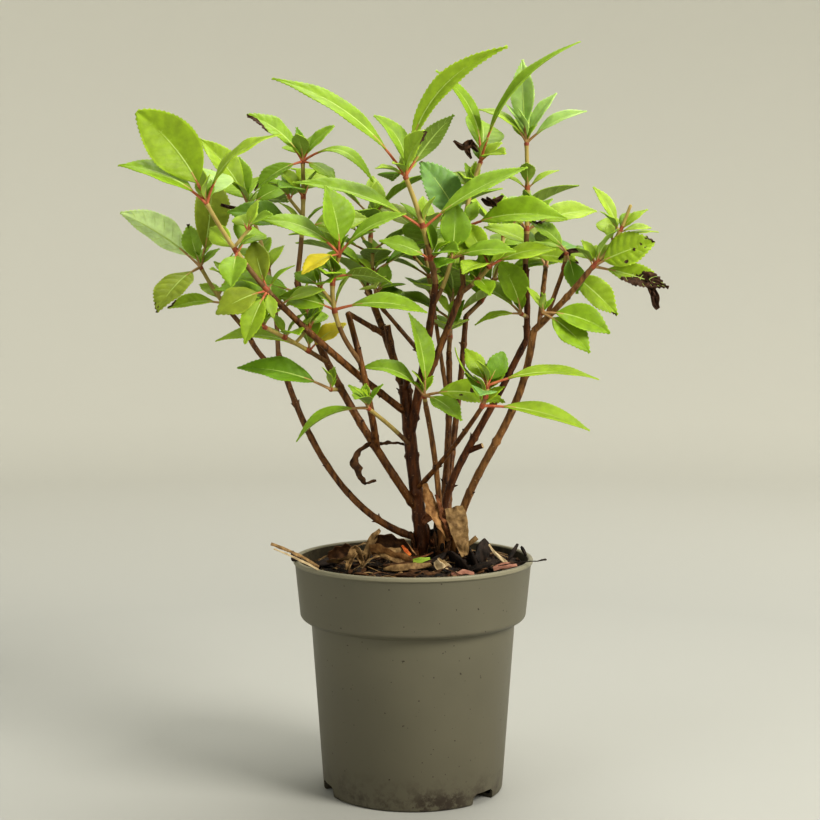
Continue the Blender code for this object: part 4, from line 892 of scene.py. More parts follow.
def noise_node(tree, scale, detail=4.0, stretch=(1, 1, 1), roughness=0.55):
    """Noise over the row frame's own coordinates. scale counts its lumps in a metre."""
    sized = add_node(tree, "Mapping", {"Vector": place_node(tree), "Scale": stretch}).outputs["Vector"]
    inputs = {"Vector": sized, "Scale": scale, "Detail": detail, "Roughness": roughness}
    return add_node(tree, "TexNoise", inputs).outputs["Fac"]


def span_node(tree, source, low, high, to_low=0.0, to_high=1.0):
    """source from low..high to to_low..to_high, held at both ends."""
    inputs = {"Value": source, "From Min": low, "From Max": high, "To Min": to_low, "To Max": to_high}
    return add_node(tree, "MapRange", inputs, clamp=True).outputs["Result"]


def mix_node(tree, share, first, second):
    """A colour between first and second, each a colour or a socket."""
    inputs = {MIX_SHARE: share, MIX_FIRST: first, MIX_SECOND: second}
    return add_node(tree, "Mix", inputs, data_type="RGBA").outputs[MIX_RESULT]


def times_node(tree, first, second):
    return add_node(tree, "Math", {0: first, 1: second}, operation="MULTIPLY").outputs["Value"]


def bump_node(tree, height, strength, depth):
    """A normal that follows a height, with its depth in millimetres."""
    inputs = {"Height": height, "Strength": strength, "Distance": depth * MM}
    return add_node(tree, "Bump", inputs).outputs["Normal"]


def mottled(name, dark, light, scale, rough, bump=None, stretch=(1, 1, 1), specular=DRY_SPECULAR):
    """A finish of two colours mottled by noise, with its own spread of roughness and relief."""
    made, tree, shader = new_finish(name)
    share = span_node(tree, noise_node(tree, scale, stretch=stretch), *MOTTLE_SPAN)
    fine = noise_node(tree, scale * FINE_GRAIN, stretch=stretch)
    feed(tree, shader, {
        "Specular IOR Level": specular,
        "Base Color": mix_node(tree, share, dark, light),
        "Roughness": span_node(tree, fine, *GRAIN_SPAN, *rough),
    })
    if bump:
        feed(tree, shader, {"Normal": bump_node(tree, fine, *bump)})
    return made


def mottled_set(*names):
    return [mottled(name, *FINISHES[name]) for name in names]


def leaf_finish(name, tint, rough=UPPER_ROUGH):
    dark, light = (scaled(tint, share) for share in LEAF_MOTTLE)
    made = mottled(name, dark, light, LEAF_LUMPS, rough, LEAF_RELIEF, specular=LEAF_SPECULAR)
    feed(made.node_tree, made.node_tree.nodes["Principled BSDF"], {
        "Subsurface Weight": LEAF_GLOW,
        "Subsurface Radius": LEAF_GLOW_TINT,
        "Subsurface Scale": LEAF_GLOW_DEPTH * MM,
    })
    return made


def bark_finish(name, dark, light, speck):
    """Streaks that run up the stems, and pale specks."""
    made, tree, shader = new_finish(name)
    streaks = noise_node(tree, BARK_STREAKS, stretch=BARK_STREAK_STRETCH)
    tone = mix_node(tree, span_node(tree, streaks, *BARK_STREAK_SPAN), dark, light)
    specks = noise_node(tree, BARK_SPECKS, 2)
    tone = mix_node(tree, span_node(tree, specks, *BARK_SPECK_SPAN), tone, speck)
    fine = noise_node(tree, BARK_GRAIN, stretch=BARK_GRAIN_STRETCH)
    feed(tree, shader, {
        "Specular IOR Level": BARK_SPECULAR,
        "Base Color": tone,
        "Roughness": span_node(tree, fine, *GRAIN_SPAN, *BARK_ROUGH),
        "Normal": bump_node(tree, fine, *BARK_RELIEF),
    })
    return made


def pot_finish():
    """Matt moulded plastic with faint cloudiness, thin soil specks and dirt along the foot, darker towards
    the bottom, with a painted highlight along the rim's top.
    """
    made, tree, shader = new_finish("grey_green_plastic")
    clouds = noise_node(tree, *POT_CLOUDS)
    dark, light = (scaled(POT_GREY, share) for share in POT_CLOUD_SHADES)
    tone = mix_node(tree, span_node(tree, clouds, *GRAIN_SPAN), dark, light)
    parts = add_node(tree, "SeparateXYZ", {"Vector": place_node(tree)}).outputs
    # Darker towards the bottom.
    tone = mix_node(tree, span_node(tree, parts["Z"], 0.0, POT_DARKENS_BELOW * MM, POT_DARKENING_MOST, 0.0), tone, POT_DARK_TONE)
    specks = span_node(tree, noise_node(tree, *POT_SPECKS), *POT_SPECK_SPAN)
    blots = span_node(tree, noise_node(tree, *POT_BLOTS, roughness=0.8), *POT_BLOT_SPAN)
    patches = noise_node(tree, *POT_PATCHES, roughness=0.7)
    low = span_node(tree, parts["Z"], 0.0, DIRT_TOP * MM, 1.0, 0.0)
    along_foot = times_node(tree, low, span_node(tree, patches, *FOOT_DIRT_SPAN))
    patch = span_node(tree, patches, *PATCH_SPAN, 0.0, PATCH_MOST)
    for axis, start, stop in DIRT_PATCH:
        patch = times_node(tree, span_node(tree, parts[axis], start * MM, stop * MM), patch)
    for share in (specks, blots, along_foot, patch):
        tone = mix_node(tree, share, tone, DIRT_BROWN)
    # Painted highlight: paler grey along the top of the rim.
    high = span_node(tree, parts["Z"], RIM_HIGHLIGHT_FROM * MM, RIM_HIGHLIGHT_FULL * MM)
    feed(tree, shader, {
        "Base Color": mix_node(tree, high, tone, scaled(POT_GREY, RIM_HIGHLIGHT_SHARE)),
        "Roughness": span_node(tree, clouds, *GRAIN_SPAN, *POT_ROUGH),
        "Normal": bump_node(tree, noise_node(tree, *POT_GRAIN), *POT_RELIEF),
    })
    return made


# ---- the growth rule


def path_between(start, foot, member, step, flare=0.0):
    """The centre line and radii from a start point to the member's tip. foot squares its first end."""
    tip = Vector(member.tip)
    bow = Vector(member.bow)
    sway = Vector(getattr(member, "sway", (0, 0, 0)))
    count = max(3, round((tip - start).length / step))
    points, radii = [], []
    for i in range(count + 1):
        t = i / count
        offset = bow * (4 * t * (1 - t)) + sway * math.sin(2 * math.pi * t)
        points.append(start.lerp(tip, t) + offset)
        radius = member.radii[0] + (member.radii[1] - member.radii[0]) * t
        climbed = (points[-1] - start).length
        radii.append(radius * (1 + flare * math.exp(-climbed / FLARE_HEIGHT)))
    return Path(points, radii, foot)


def along(path, share):
    """The point and the direction at a share of a path's steps."""
    place = min(max(share, 0.0), 1.0) * (len(path.points) - 1)
    low = min(int(place), len(path.points) - 2)
    ahead = path.points[low + 1] - path.points[low]
    return path.points[low] + ahead * (place - low), ahead.normalized()


def member_start(member, paths):
    """Where a member's centre line starts, and the direction its first end is cut square to."""
    if member.parent is None:
        return Vector((*member.at, STEM_FOOT_Z)), UP
    point, direction = along(paths[member.parent], member.at)
    if member.at == 1.0:
        return point + direction * GAP, direction
    return point, None


def plan_paths():
    """Every limb's and every shoot's centre line, by name."""
    paths = {}
    for name, limb in LIMBS.items():
        flare = FLARE if limb.parent is None else 0.0
        paths[name] = path_between(*member_start(limb, paths), limb, STEM_STEP, flare)
    for name, shoot in SHOOTS.items():
        paths[name] = path_between(*member_start(shoot, paths), shoot, SHOOT_STEP)
    return paths


def on_circle(radius, angle):
    return radius * math.cos(angle), radius * math.sin(angle)


def sides_for(path, steps):
    """How many sides a tube gets, by how thick it starts."""
    return next(count for least, count in steps if path.radii[0] > least)


def ring_faces(rings, sides, first=0):
    """Quads between rings of points, then a cap at either end."""
    faces = []
    for i in range(rings - 1):
        for k in range(sides):
            a, b = first + i * sides + k, first + i * sides + (k + 1) % sides
            faces.append((a, b, b + sides, a + sides))
    faces.append(tuple(first + k for k in reversed(range(sides))))
    faces.append(tuple(first + (rings - 1) * sides + k for k in range(sides)))
    return faces


def sheet_faces(rows, across):
    """A closed sheet but for its far end: upper and under quads by turns, its two sides, its near end."""
    under = rows * across
    faces = []
    for i in range(rows - 1):
        for j in range(across - 1):
            a = i * across + j
            faces.append((a, a + 1, a + 1 + across, a + across))
            faces.append((under + a + across, under + a + across + 1, under + a + 1, under + a))
    for i in range(rows - 1):
        left, right = i * across, (i + 1) * across - 1
        faces.append((right, under + right, under + right + across, right + across))
        faces.append((left + across, under + left + across, under + left, left))
    faces.append((*range(under, under + across), *reversed(range(across))))
    return faces


def turned(profile, sides):
    """Points and quads of an outline of (radius, z) turned about Z."""
    count = len(profile)
    points, faces = [], []
    for k in range(sides):
        angle = 2 * math.pi * k / sides
        points += [(r * math.cos(angle), r * math.sin(angle), z) for r, z in profile]
        here, there = k * count, (k + 1) % sides * count
        faces += [(here + i, there + i, there + i + 1, here + i + 1) for i in range(count - 1)]
    return points, faces


def closed_turn(outline, sides):
    """A solid turned from an outline whose two ends lie on the axis."""
    count = len(outline) - 2
    points, faces = turned(outline[1:-1], sides)
    for k in range(sides):
        here, there = k * count, (k + 1) % sides * count
        faces.append((len(points), there, here))
        faces.append((len(points) + 1, here + count - 1, there + count - 1))
    return points + [(0, 0, outline[0][1]), (0, 0, outline[-1][1])], faces


def pot_cavity():
    """Corners (radius, z) of the pot's cavity, from its mouth down to its floor."""
    return [
        (RIM_RADIUS - BEAD_DEPTH - WALL, POT_HEIGHT),
        (COLLAR_FOOT_RADIUS - WALL, STEP_Z + STEP_RISE),
        (POT_BODY_TOP_RADIUS - WALL, STEP_Z + STEP_RISE / 2),
        (POT_FOOT_RADIUS - WALL, FLOOR),
    ]


def pot_outline():
    """Corners of the whole pot, from the middle of its underside over the rim to the middle of its floor."""
    return [
        (0.0, 0.0),
        (POT_FOOT_RADIUS - FOOT_CHAMFER, 0.0),
        (POT_FOOT_RADIUS, FOOT_CHAMFER),
        (POT_BODY_TOP_RADIUS, STEP_Z - STEP_RISE),
        (COLLAR_FOOT_RADIUS - STEP_RISE, STEP_Z - STEP_RISE / 2),
        (COLLAR_FOOT_RADIUS, STEP_Z + STEP_RISE / 2),
        (RIM_RADIUS - BEAD_DEPTH, BEAD_Z),
        (RIM_RADIUS, BEAD_Z + BEAD_DEPTH / 2),
        (RIM_RADIUS, POT_HEIGHT - BEAD_DEPTH / 2),
        (RIM_RADIUS - BEAD_DEPTH / 2, POT_HEIGHT),
        *pot_cavity(),
        (0.0, FLOOR),
    ]


def tube(path, fatter=0.0):
    """Points and faces of a closed tube that follows a path."""
    sides = sides_for(path, STEM_SIDES)
    ahead = [b - a for a, b in zip(path.points, path.points[1:])]
    last = len(path.points) - 1
    points = []
    across = None
    for i, centre in enumerate(path.points):
        run = (ahead[max(i - 1, 0)] + ahead[min(i, last - 1)]).normalized()
        if i == 0 and path.foot is not None:
            run = path.foot
        if i in (0, last):
            centre = centre + run * (fatter if i else -fatter)
        if across is None:
            across = run.orthogonal()
        across = (across - run * across.dot(run)).normalized()
        beside = run.cross(across)
        for k in range(sides):
            angle = 2 * math.pi * k / sides
            spoke = across * math.cos(angle) + beside * math.sin(angle)
            points.append(centre + spoke * (path.radii[i] + fatter))
    return points, ring_faces(last + 1, sides)


# ---- leaves and side twigs


def blade_share(q, blunt):
    """Half-width at a share q of the blade, against its widest."""
    return WIDER * np.sin(np.pi * q ** BLADE_BIAS) ** (BASE_POWER + (TIP_SHARPER - TIP_BLUNTER * blunt) * q)


def compass(turn, rise):
    """The direction at a turn in plan and a climb, both in degrees."""
    turn, rise = math.radians(turn), math.radians(rise)
    return Vector((math.cos(turn) * math.cos(rise), math.sin(turn) * math.cos(rise), math.sin(rise)))


def blade_for(leaf, root, chance):
    """Stand a leaf on its node: the way it points and the way its upper side looks."""
    direction = compass(leaf.turn, leaf.rise)
    skyward = (UP - direction * UP.dot(direction)).normalized()
    sideways = direction.cross(skyward)
    if sideways.dot(VIEWER) < 0:
        sideways = -sideways
    face = math.radians(leaf.face)
    normal = skyward * math.cos(face) + sideways * math.sin(face)
    return Blade(leaf, root, direction, normal, math.radians(chance.uniform(*FOLDS)))


def blade_axis(blade, s):
    """Centre point at a share s of the way from node to tip."""
    leaf = blade.leaf
    hump = 4 * s * (1 - s) * leaf.length
    beside = blade.direction.cross(blade.normal)
    if beside.z < 0:
        beside = -beside
    return (blade.root + blade.direction * (leaf.length * s)
            + blade.normal * (leaf.arch * hump) + beside * (leaf.bend * hump))


def blade_rings(blade, extra=0.0):
    """Four points (right, top, left, under) at each cross-section, node to last station."""
    leaf = blade.leaf
    blade_length = leaf.length * (1 - PETIOLE_SHARE)
    thick = max(BLADE_THICK_LEAST, BLADE_THICK_SHARE * leaf.length) / 2 + extra
    stations = [(0.0, PETIOLE_WIDTH / 2, PETIOLE_THICK / 2, 0.0)]
    stations.append((PETIOLE_SHARE, PETIOLE_WIDTH / 2 + extra, PETIOLE_THICK / 2 + extra, 0.0))
    for q in BLADE_STATIONS if leaf.length > SMALL_LEAF else SMALL_BLADE_STATIONS:
        half = leaf.broad * blade_length / 2 * blade_share(q, leaf.blunt) + extra
        stations.append((PETIOLE_SHARE + (1 - PETIOLE_SHARE) * q, half, thick, blade.fold))
    rings = []
    for s, half, half_thick, fold in stations:
        centre = blade_axis(blade, s)
        run = (blade_axis(blade, s + 0.01) - blade_axis(blade, s - 0.01)).normalized()
        beside = run.cross(blade.normal).normalized()
        upward = beside.cross(run)
        lift = upward * (half * math.sin(fold))
        wide = beside * (half * math.cos(fold))
        rings.append((centre + wide + lift, centre + upward * half_thick,
                      centre - wide + lift, centre - upward * half_thick))
    return rings


def blade_mesh(blade, extra=0.0, first_ring=0):
    """Points and triangles of the closed leaf, from one of its cross-sections to its tip."""
    rings = blade_rings(blade, extra)[first_ring:]
    points = [p for ring in rings for p in ring]
    points.append(blade_axis(blade, 1.0) + blade.direction * extra)
    tip = len(points) - 1
    faces = [(0, 1, 2), (0, 2, 3)]
    for i in range(len(rings) - 1):
        for k in range(4):
            a, b = i * 4 + k, i * 4 + (k + 1) % 4
            faces += [(a, a + 4, b + 4), (a, b + 4, b)]
    last = (len(rings) - 1) * 4
    faces += [(last + k, tip, last + (k + 1) % 4) for k in range(4)]
    return points, faces


def pair_places(count):
    """Where the pairs of a shoot that only states their number stand, as shares of its length."""
    return [PAIR_FIRST_AT + (1 - PAIR_FIRST_AT) * i / (count - 1) for i in range(count)]


def node_places(shoot):
    return sorted({leaf.at for leaf in shoot.leaves}) or pair_places(shoot.pairs)


def rule_leaves(count, chance):
    """Leaves for a shoot that states only how many pairs it has: crossed pairs and a top leaf."""
    leaves = []
    for i, at in enumerate(pair_places(count)):
        for side in (0, 180):
            turn = AWAY_TURN + side + PAIR_TURN * i + chance.uniform(-PAIR_TURN_SPREAD, PAIR_TURN_SPREAD)
            length = chance.uniform(*PAIR_LENGTHS) * (PAIR_LEAST + (1 - PAIR_LEAST) * at)
            spread = chance.uniform(-PAIR_RISE_SPREAD, PAIR_RISE_SPREAD)
            rise = PAIR_RISES[0] + (PAIR_RISES[1] - PAIR_RISES[0]) * at + spread
            leaves.append(Leaf(at, turn, rise, length, chance.uniform(*PAIR_FACES)))
    leaves.append(Leaf(1, AWAY_TURN, TOP_LEAF_RISE, PAIR_LENGTHS[0] * PAIR_LEAST, 25, 0.36))
    return leaves


def rule_twigs(name, path, claims, chance):
    """Short side twigs, each as its path and its compass direction, clear of everything else."""
    count = SHOOTS[name].twigs
    twigs = []
    for i in range(count):
        at = TWIG_SPAN[0] + (TWIG_SPAN[1] - TWIG_SPAN[0]) * (i + 0.5) / count
        root, _ = along(path, at)
        length = chance.uniform(*TWIG_LENGTHS)
        first_turn = chance.uniform(0, 360)
        for tried in range(TWIG_TRIES):
            turn = first_turn + TWIG_TURN * tried
            reach = compass(turn, TWIG_RISE) * length
            twig = Path([root, root + reach * 0.5, root + reach], [TWIG_RADII[0]] * 2 + [TWIG_RADII[1]], None)
            fat = tube(twig, LEAF_CLEARANCE)
            if not claims.meets(*fat, skip=(name,)):
                twigs.append((twig, turn))
                claims.add(name + BLADES, *tube(twig))
                break
    return twigs


def twig_leaves(turn, chance):
    """The crossed pair and the top leaf of a side twig."""
    leaves = [Leaf(1, turn, TWIG_TOP_RISE, TWIG_LEAF_LENGTHS[0], 30, 0.36)]
    for side in (-TWIG_LEAF_TURN, TWIG_LEAF_TURN):
        length = chance.uniform(*TWIG_LEAF_LENGTHS)
        leaves.append(Leaf(1, turn + side, TWIG_LEAF_RISE, length, chance.uniform(10, 40)))
    return leaves


class Claims:
    """Surfaces already in place, each known by the member that owns it."""

    def __init__(self):
        self.held = []

    @staticmethod
    def box(points):
        low = Vector((min(p[i] for p in points) for i in range(3)))
        high = Vector((max(p[i] for p in points) for i in range(3)))
        return low, high

    def add(self, owner, points, faces):
        self.held.append((owner, *self.box(points), BVHTree.FromPolygons(points, faces)))

    def meets(self, points, faces, skip=()):
        low, high = self.box(points)
        own = None
        for owner, other_low, other_high, tree in self.held:
            if owner in skip:
                continue
            if any(low[i] > other_high[i] or high[i] < other_low[i] for i in range(3)):
                continue
            own = own or BVHTree.FromPolygons(points, faces)
            if own.overlap(tree):
                return True
        return False


def fit_blade(leaf, root, name, claims, chance):
    """The first way of standing a leaf that is clear of everything, or None."""
    fold_chance = chance.random()
    for share in SHORTENINGS:
        for turn, rise in SWINGS:
            tried = leaf._replace(turn=leaf.turn + turn, rise=leaf.rise + rise, length=leaf.length * share)
            blade = blade_for(tried, root, random.Random(fold_chance))
            if claims.meets(*blade_mesh(blade, LEAF_CLEARANCE), skip=(name, name + BLADES, name + OUTER)):
                continue
            if not claims.meets(*blade_mesh(blade, LEAF_CLEARANCE, OUTER_RING), skip=(name + BLADES,)):
                return blade
    return None


def stand(own, name, leaf, root, claims, chance, bounded=True):
    """Add a leaf to own where it is clear of everything, and claim its place."""
    blade = fit_blade(leaf, root, name, claims, chance)
    if blade is not None and (within_reach(blade) or not bounded):
        own.append(blade)
        claims.add(name + BLADES, *blade_mesh(blade))
        claims.add(name + OUTER, *blade_mesh(blade, first_ring=OUTER_RING))


def plan_leaves(paths):
    """Every shoot's blades and side twigs that are clear of the limbs and of one another."""
    claims = Claims()
    claims.add("pot", *closed_turn(pot_outline(), POT_SIDES))
    for name in (*LIMBS, *SHOOTS):
        claims.add(name, *tube(paths[name]))
    blades, twigs = {}, {}
    for number, (name, shoot) in enumerate(SHOOTS.items()):
        chance = random.Random(SEED + number)
        blades[name] = []
        for leaf in shoot.leaves or rule_leaves(shoot.pairs, chance):
            stand(blades[name], name, leaf, along(paths[name], leaf.at)[0], claims, chance, bounded=False)
    for number, name in enumerate(SHOOTS):
        chance = random.Random(SEED - 1 - number)
        twigs[name] = rule_twigs(name, paths[name], claims, chance)
        for twig, turn in twigs[name]:
            for leaf in twig_leaves(turn, chance):
                stand(blades[name], name, leaf, along(twig, TWIG_LEAF_AT)[0], claims, chance, bounded=False)
    return blades, twigs, claims


# ---- fine leaves


def unit(rows):
    return rows / np.linalg.norm(rows, axis=1, keepdims=True)


def rolled(beside, upward, angle):
    """Two directions turned in their own plane by an angle in radians."""
    return (beside * np.cos(angle) + upward * np.sin(angle), upward * np.cos(angle) - beside * np.sin(angle))


class LeafSurface:
    """The middle surface of a blade: q runs along it from base to tip, v across it from -1 to 1."""

    def __init__(self, blade, chance):
        leaf = blade.leaf
        self.blade = blade
        self.root = np.array(blade.root)
        self.direction = np.array(blade.direction)
        self.normal = np.array(blade.normal)
        sideways = blade.direction.cross(blade.normal)
        if sideways.z < 0:
            sideways = -sideways
        self.hump = self.normal * leaf.arch + np.array(sideways) * leaf.bend
        self.widest = leaf.broad * leaf.length * (1 - PETIOLE_SHARE) / 2
        self.curl = chance.uniform(*CURLS)
        self.ripple = chance.uniform(*RIPPLES)
        self.phase = chance.random()
        self.twist = math.radians(chance.uniform(-TWIST, TWIST))

    def axis(self, s):
        """Centre, run, beside and upward directions at shares s of the way from node to tip."""
        s = np.atleast_1d(np.asarray(s, float))[:, None]
        length = self.blade.leaf.length
        centre = self.root + self.direction * (length * s) + self.hump * (4 * s * (1 - s) * length)
        run = unit(self.direction + self.hump * (4 * (1 - 2 * s)))
        beside = unit(np.cross(run, self.normal))
        return centre, run, beside, np.cross(beside, run)

    def at(self, q, v):
        """Places on the blade, with the directions along, across and up there."""
        q, v = np.asarray(q, float), np.asarray(v, float)
        centre, run, beside, upward = self.axis(PETIOLE_SHARE + (1 - PETIOLE_SHARE) * q)
        half = np.maximum(self.widest * blade_share(q, self.blade.leaf.blunt), LEAST_HALF_WIDTH)
        away = np.abs(v)
        hinge = np.sqrt(away ** 2 + CREASE ** 2) - CREASE
        vein = (q - VEIN_SWEEP * away ** VEIN_POWER - VEINS_FROM) / (VEINS_TO - VEINS_FROM) * VEINS
        swell = np.abs(np.cos(np.pi * vein)) ** QUILT_POWER * away * (1 - away ** 2)
        wave = np.sin(2 * np.pi * (WAVES * q + self.phase + 0.25 * np.sign(v)))
        lift = half * (math.sin(self.blade.fold) * hinge - self.curl * away ** 2
                       + self.ripple * away ** 3 * wave) + self.widest * QUILT * swell
        wide = half * v * math.cos(self.blade.fold)
        beside, upward = rolled(beside, upward, (self.twist * q)[:, None])
        return centre + beside * wide[:, None] + upward * lift[:, None], run, beside, upward


def is_burnt(q, v, burn, seed):
    """Whether a place on the blade is brown: past a ragged line, or in a spot."""
    ragged = BURN_EDGE * noise.noise(Vector((q * BURN_RAGGED[0], v * BURN_RAGGED[1], seed)))
    if q + burn.lean * v + ragged > burn.start:
        return True
    return any(math.hypot(q - at, (v - side) * SPOT_SQUASH) < reach + ragged * SPOT_RAGGED
               for at, side, reach in burn.spots)


def add_blade(piece, surface, burn=None):
    """One closed blade. Finishes: 0 upper side, 1 its margin, 2 under side, 3 burnt."""
    leaf = surface.blade.leaf
    seed = leaf.length * 7.3
    split = FINE_SPLIT if burn else 1
    rows = int(min(max(leaf.length * ROWS_FOR_EACH_MM, ROWS[0]), ROWS[1])) * split
    columns = np.array(FEW_COLUMNS if leaf.length < FEW_COLUMNS_UNDER else COLUMNS)
    if burn:
        columns = np.linspace(-1, 1, BURN_COLUMNS)
    elif leaf.length > MANY_COLUMNS_OVER:
        columns = np.array(MANY_COLUMNS)
    across = len(columns)
    q = np.linspace(0.0, LAST_ROW, rows)
    grid_q, grid_v = (grid.ravel() for grid in np.meshgrid(q, columns, indexing="ij"))
    middle, run, beside, upward = surface.at(grid_q, grid_v)
    edge = np.abs(grid_v) == 1
    toothed = (np.arange(rows) // split) % 2 == 1
    tooth = TOOTH * math.sqrt(leaf.length / TOOTH_LEAF) * (edge & toothed.repeat(across))
    middle += (beside * np.sign(grid_v)[:, None] + run) * tooth[:, None]

    def burnt(at, side):
        return burn and is_burnt(at, side, burn, seed)

    for k, (at, side) in enumerate(zip(grid_q, grid_v)):
        if burnt(at, side):
            spot = Vector((at * CRUMPLE_PITCH[0], side * CRUMPLE_PITCH[1], seed + 5))
            middle[k] += upward[k] * BURN_CRUMPLE * noise.noise(spot)
    half_thick = np.where(edge, EDGE_THICK, BLADE_THICK)[:, None] / 2
    tip = surface.at([1.0], [0.0])[0]
    points = np.concatenate([middle + upward * half_thick, middle - upward * half_thick, tip])
    under = rows * across
    end = 2 * under
    centres = (columns[:-1] + columns[1:]) / 2
    slots = []
    for i in range(rows - 1):
        for v in centres:
            slots += [3, 3] if burnt((q[i] + q[i + 1]) / 2, v) else [1 if abs(v) > MARGIN_FROM else 0, 2]
    for i in range(rows - 1):
        slots += [3 if burnt(q[i], side) else 1 for side in (1, -1)]
    faces = sheet_faces(rows, across)
    last = (rows - 1) * across
    for j in range(last, last + across - 1):
        faces += [(j, j + 1, end), (under + j + 1, under + j, end)]
    faces += [(last + across - 1, under + last + across - 1, end), (under + last, last, end)]
    piece.add(points, faces, slots + [1] + [3 if burnt(1.0, 0.0) else 1] * (2 * across))


def sweep(line, radii, aside, sides, flat=1.0):
    """Points and faces of a tube round a line. aside is a direction that the line never takes."""
    line = np.asarray(line, float)
    radii = np.asarray(radii, float)
    run = unit(np.gradient(line, axis=0))
    across = unit(np.cross(run, aside))
    upward = np.cross(run, across)
    angles = np.arange(sides) * 2 * np.pi / sides
    spokes = (across[:, None, :] * np.cos(angles)[None, :, None]
              + upward[:, None, :] * (flat * np.sin(angles))[None, :, None])
    points = line[:, None, :] + spokes * radii.reshape(len(line), -1)[:, :, None]
    return points.reshape(-1, 3), ring_faces(len(line), sides)


def add_rib(piece, surface, petiole=0):
    """Petiole and midrib in one taper. Finishes: 0 coral, 1 blush, 2 pale, 3 tan."""
    leaf = surface.blade.leaf
    count = 14 if leaf.length > FEW_COLUMNS_UNDER else 8
    s = np.linspace(0.0, RIB_TO, count)
    size = min(1.0, (leaf.length / RIB_LEAF) ** 0.6)
    radii = np.interp(s, (0.0, PETIOLE_SHARE, RIB_TO), np.array(RIB_RADII) * size)
    radii[-1] = max(radii[-1], RIB_LEAST)
    points, faces = sweep(surface.axis(s)[0], radii, surface.normal, RIB_SIDES, RIB_FLAT)
    order = (petiole, 1, 2)
    slots = np.array(order)[np.searchsorted((RIB_CORAL_TO, RIB_BLUSH_TO), s[:-1])].repeat(RIB_SIDES).tolist()
    piece.add(points, faces, slots + [petiole, 2])


def add_veins(piece, surface):
    """Side veins that leave the midrib in pairs and bend towards the tip."""
    stops = np.array(VEIN_STOPS)
    size = min(1.0, (surface.blade.leaf.length / SMALL_LEAF) ** 0.5)
    radii = np.linspace(VEIN_RADII[0], VEIN_RADII[1], len(stops)) * (0.75 + 0.25 * size)
    for number in range(VEINS):
        start = VEINS_FROM + (VEINS_TO - VEINS_FROM) * (number + 0.5) / VEINS
        q = start + VEIN_SWEEP * stops ** VEIN_POWER
        for side in (-1, 1):
            line = surface.at(np.minimum(q, RIB_TO), side * stops)[0]
            piece.add(*sweep(line, radii, surface.normal, 4), 2)


def tint_for(name, number, chance):
    told = LEAF_TINTS.get(name, {}).get(number)
    drawn = chance.choices(list(TINTS), [tint.share for tint in TINTS.values()])[0]
    if name in SHOOT_TINTS:
        drawn = chance.choice(SHOOT_TINTS[name])
    return told or drawn


def build_leaves(blades, finer):
    """All leaves, one piece for each tint, and their petioles, midribs and veins as another."""
    burnt, *rib_finishes = mottled_set("leaf_burnt", "rib_coral", "rib_blush", "rib_pale", "rib_tan")
    pieces = {}
    for name, tint in TINTS.items():
        pieces[name] = Piece(f"leaves_{name}", "leaf", [
            leaf_finish(f"{name}_upper", tint.top),
            leaf_finish(f"{name}_margin", scaled(tint.top, MARGIN_PALER)),
            leaf_finish(f"{name}_under", tint.under, UNDER_ROUGH),
            burnt,
        ])
    ribs = Piece("petioles_and_veins", "leaf", rib_finishes)
    chance = random.Random(FINE_SEED)
    for name, own in blades.items():
        for number, blade in enumerate(own):
            tint = tint_for(name, number, chance)
            surface = LeafSurface(blade, chance)
            add_blade(pieces[tint], surface, BURNS.get(name, {}).get(number))
            add_rib(ribs, surface, 0 if name in CORAL_SHOOTS else 3)
            if blade.leaf.length > VEINED_FROM:
                add_veins(ribs, surface)
    for blade in finer:
        surface = LeafSurface(blade, chance)
        add_blade(pieces[chance.choice(YOUNG_TINTS)], surface)
        add_rib(ribs, surface, 3)
    withered = random.Random(WITHERED_SEED)
    for spots, widths in WITHERED:
        add_strip(pieces["olive"], spots, widths, VIEWER, withered, 0.9, crumple=1.0, slots=(3, 3))
    for number, piece in enumerate(pieces.values()):
        piece.build(sharp=80, replaces=list(SHOOTS)[number::len(pieces)])
    ribs.build(sharp=80)


# ---- finer growth


def within_reach(blade):
    """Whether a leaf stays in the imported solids' own box."""
    tip = blade_axis(blade, 1.0) * MM
    return all(cad_low[i] <= tip[i] <= cad_high[i] for i in range(3))


def grow_finer(paths, twigs, claims):
    """Leaflets in the axils, bud leaves at the tips and leaves on the limbs, clear of all else."""
    grown = []

    def add_pair(name, path, at, turn, lengths, rises, most_face, chance):
        for side in (0, 180):
            length = chance.uniform(*lengths)
            leaf = Leaf(at, turn + side, chance.uniform(*rises), length, chance.uniform(0, most_face))
            stand(grown, name, leaf, along(path, at)[0], claims, chance)

    for number, (name, shoot) in enumerate(SHOOTS.items()):
        chance = random.Random(FINE_SEED + number)
        path = paths[name]
        for at in node_places(shoot) if name not in NO_AXIL_LEAVES else ():
            add_pair(name, path, at, chance.uniform(0, 360), AXIL_LENGTHS, AXIL_RISES, AXIL_MOST_FACE, chance)
        ends = [path] * (name not in BARE_ENDED) + [twig for twig, _ in twigs[name]]
        for end in ends:
            turn = chance.uniform(0, 360)
            for k in range(TIP_LEAVES):
                rise, length = chance.uniform(*TIP_RISES), chance.uniform(*TIP_LENGTHS)
                leaf = Leaf(1, turn + TWIG_TURN * k, rise, length, TIP_FACE, TIP_BROAD)
                stand(grown, name, leaf, along(end, 1.0)[0], claims, chance)
    for number, name in enumerate(LIMBS):
        chance = random.Random(2 * FINE_SEED + number)
        path = paths[name]
        reach = sum((b - a).length for a, b in zip(path.points, path.points[1:]))
        count = max(1, round(reach / LIMB_LEAF_SPACING))
        for i in range(count):
            at = (i + 0.5) / count
            root, _ = along(path, at)
            turn = chance.uniform(0, 360)
            if root.z >= LIMB_LEAF_FROM_Z and root.x <= LIMB_LEAF_TO_X:
                add_pair(name, path, at, turn, LIMB_LEAF_LENGTHS, LIMB_LEAF_RISES, LIMB_MOST_FACE, chance)
    return grown


# ---- bark


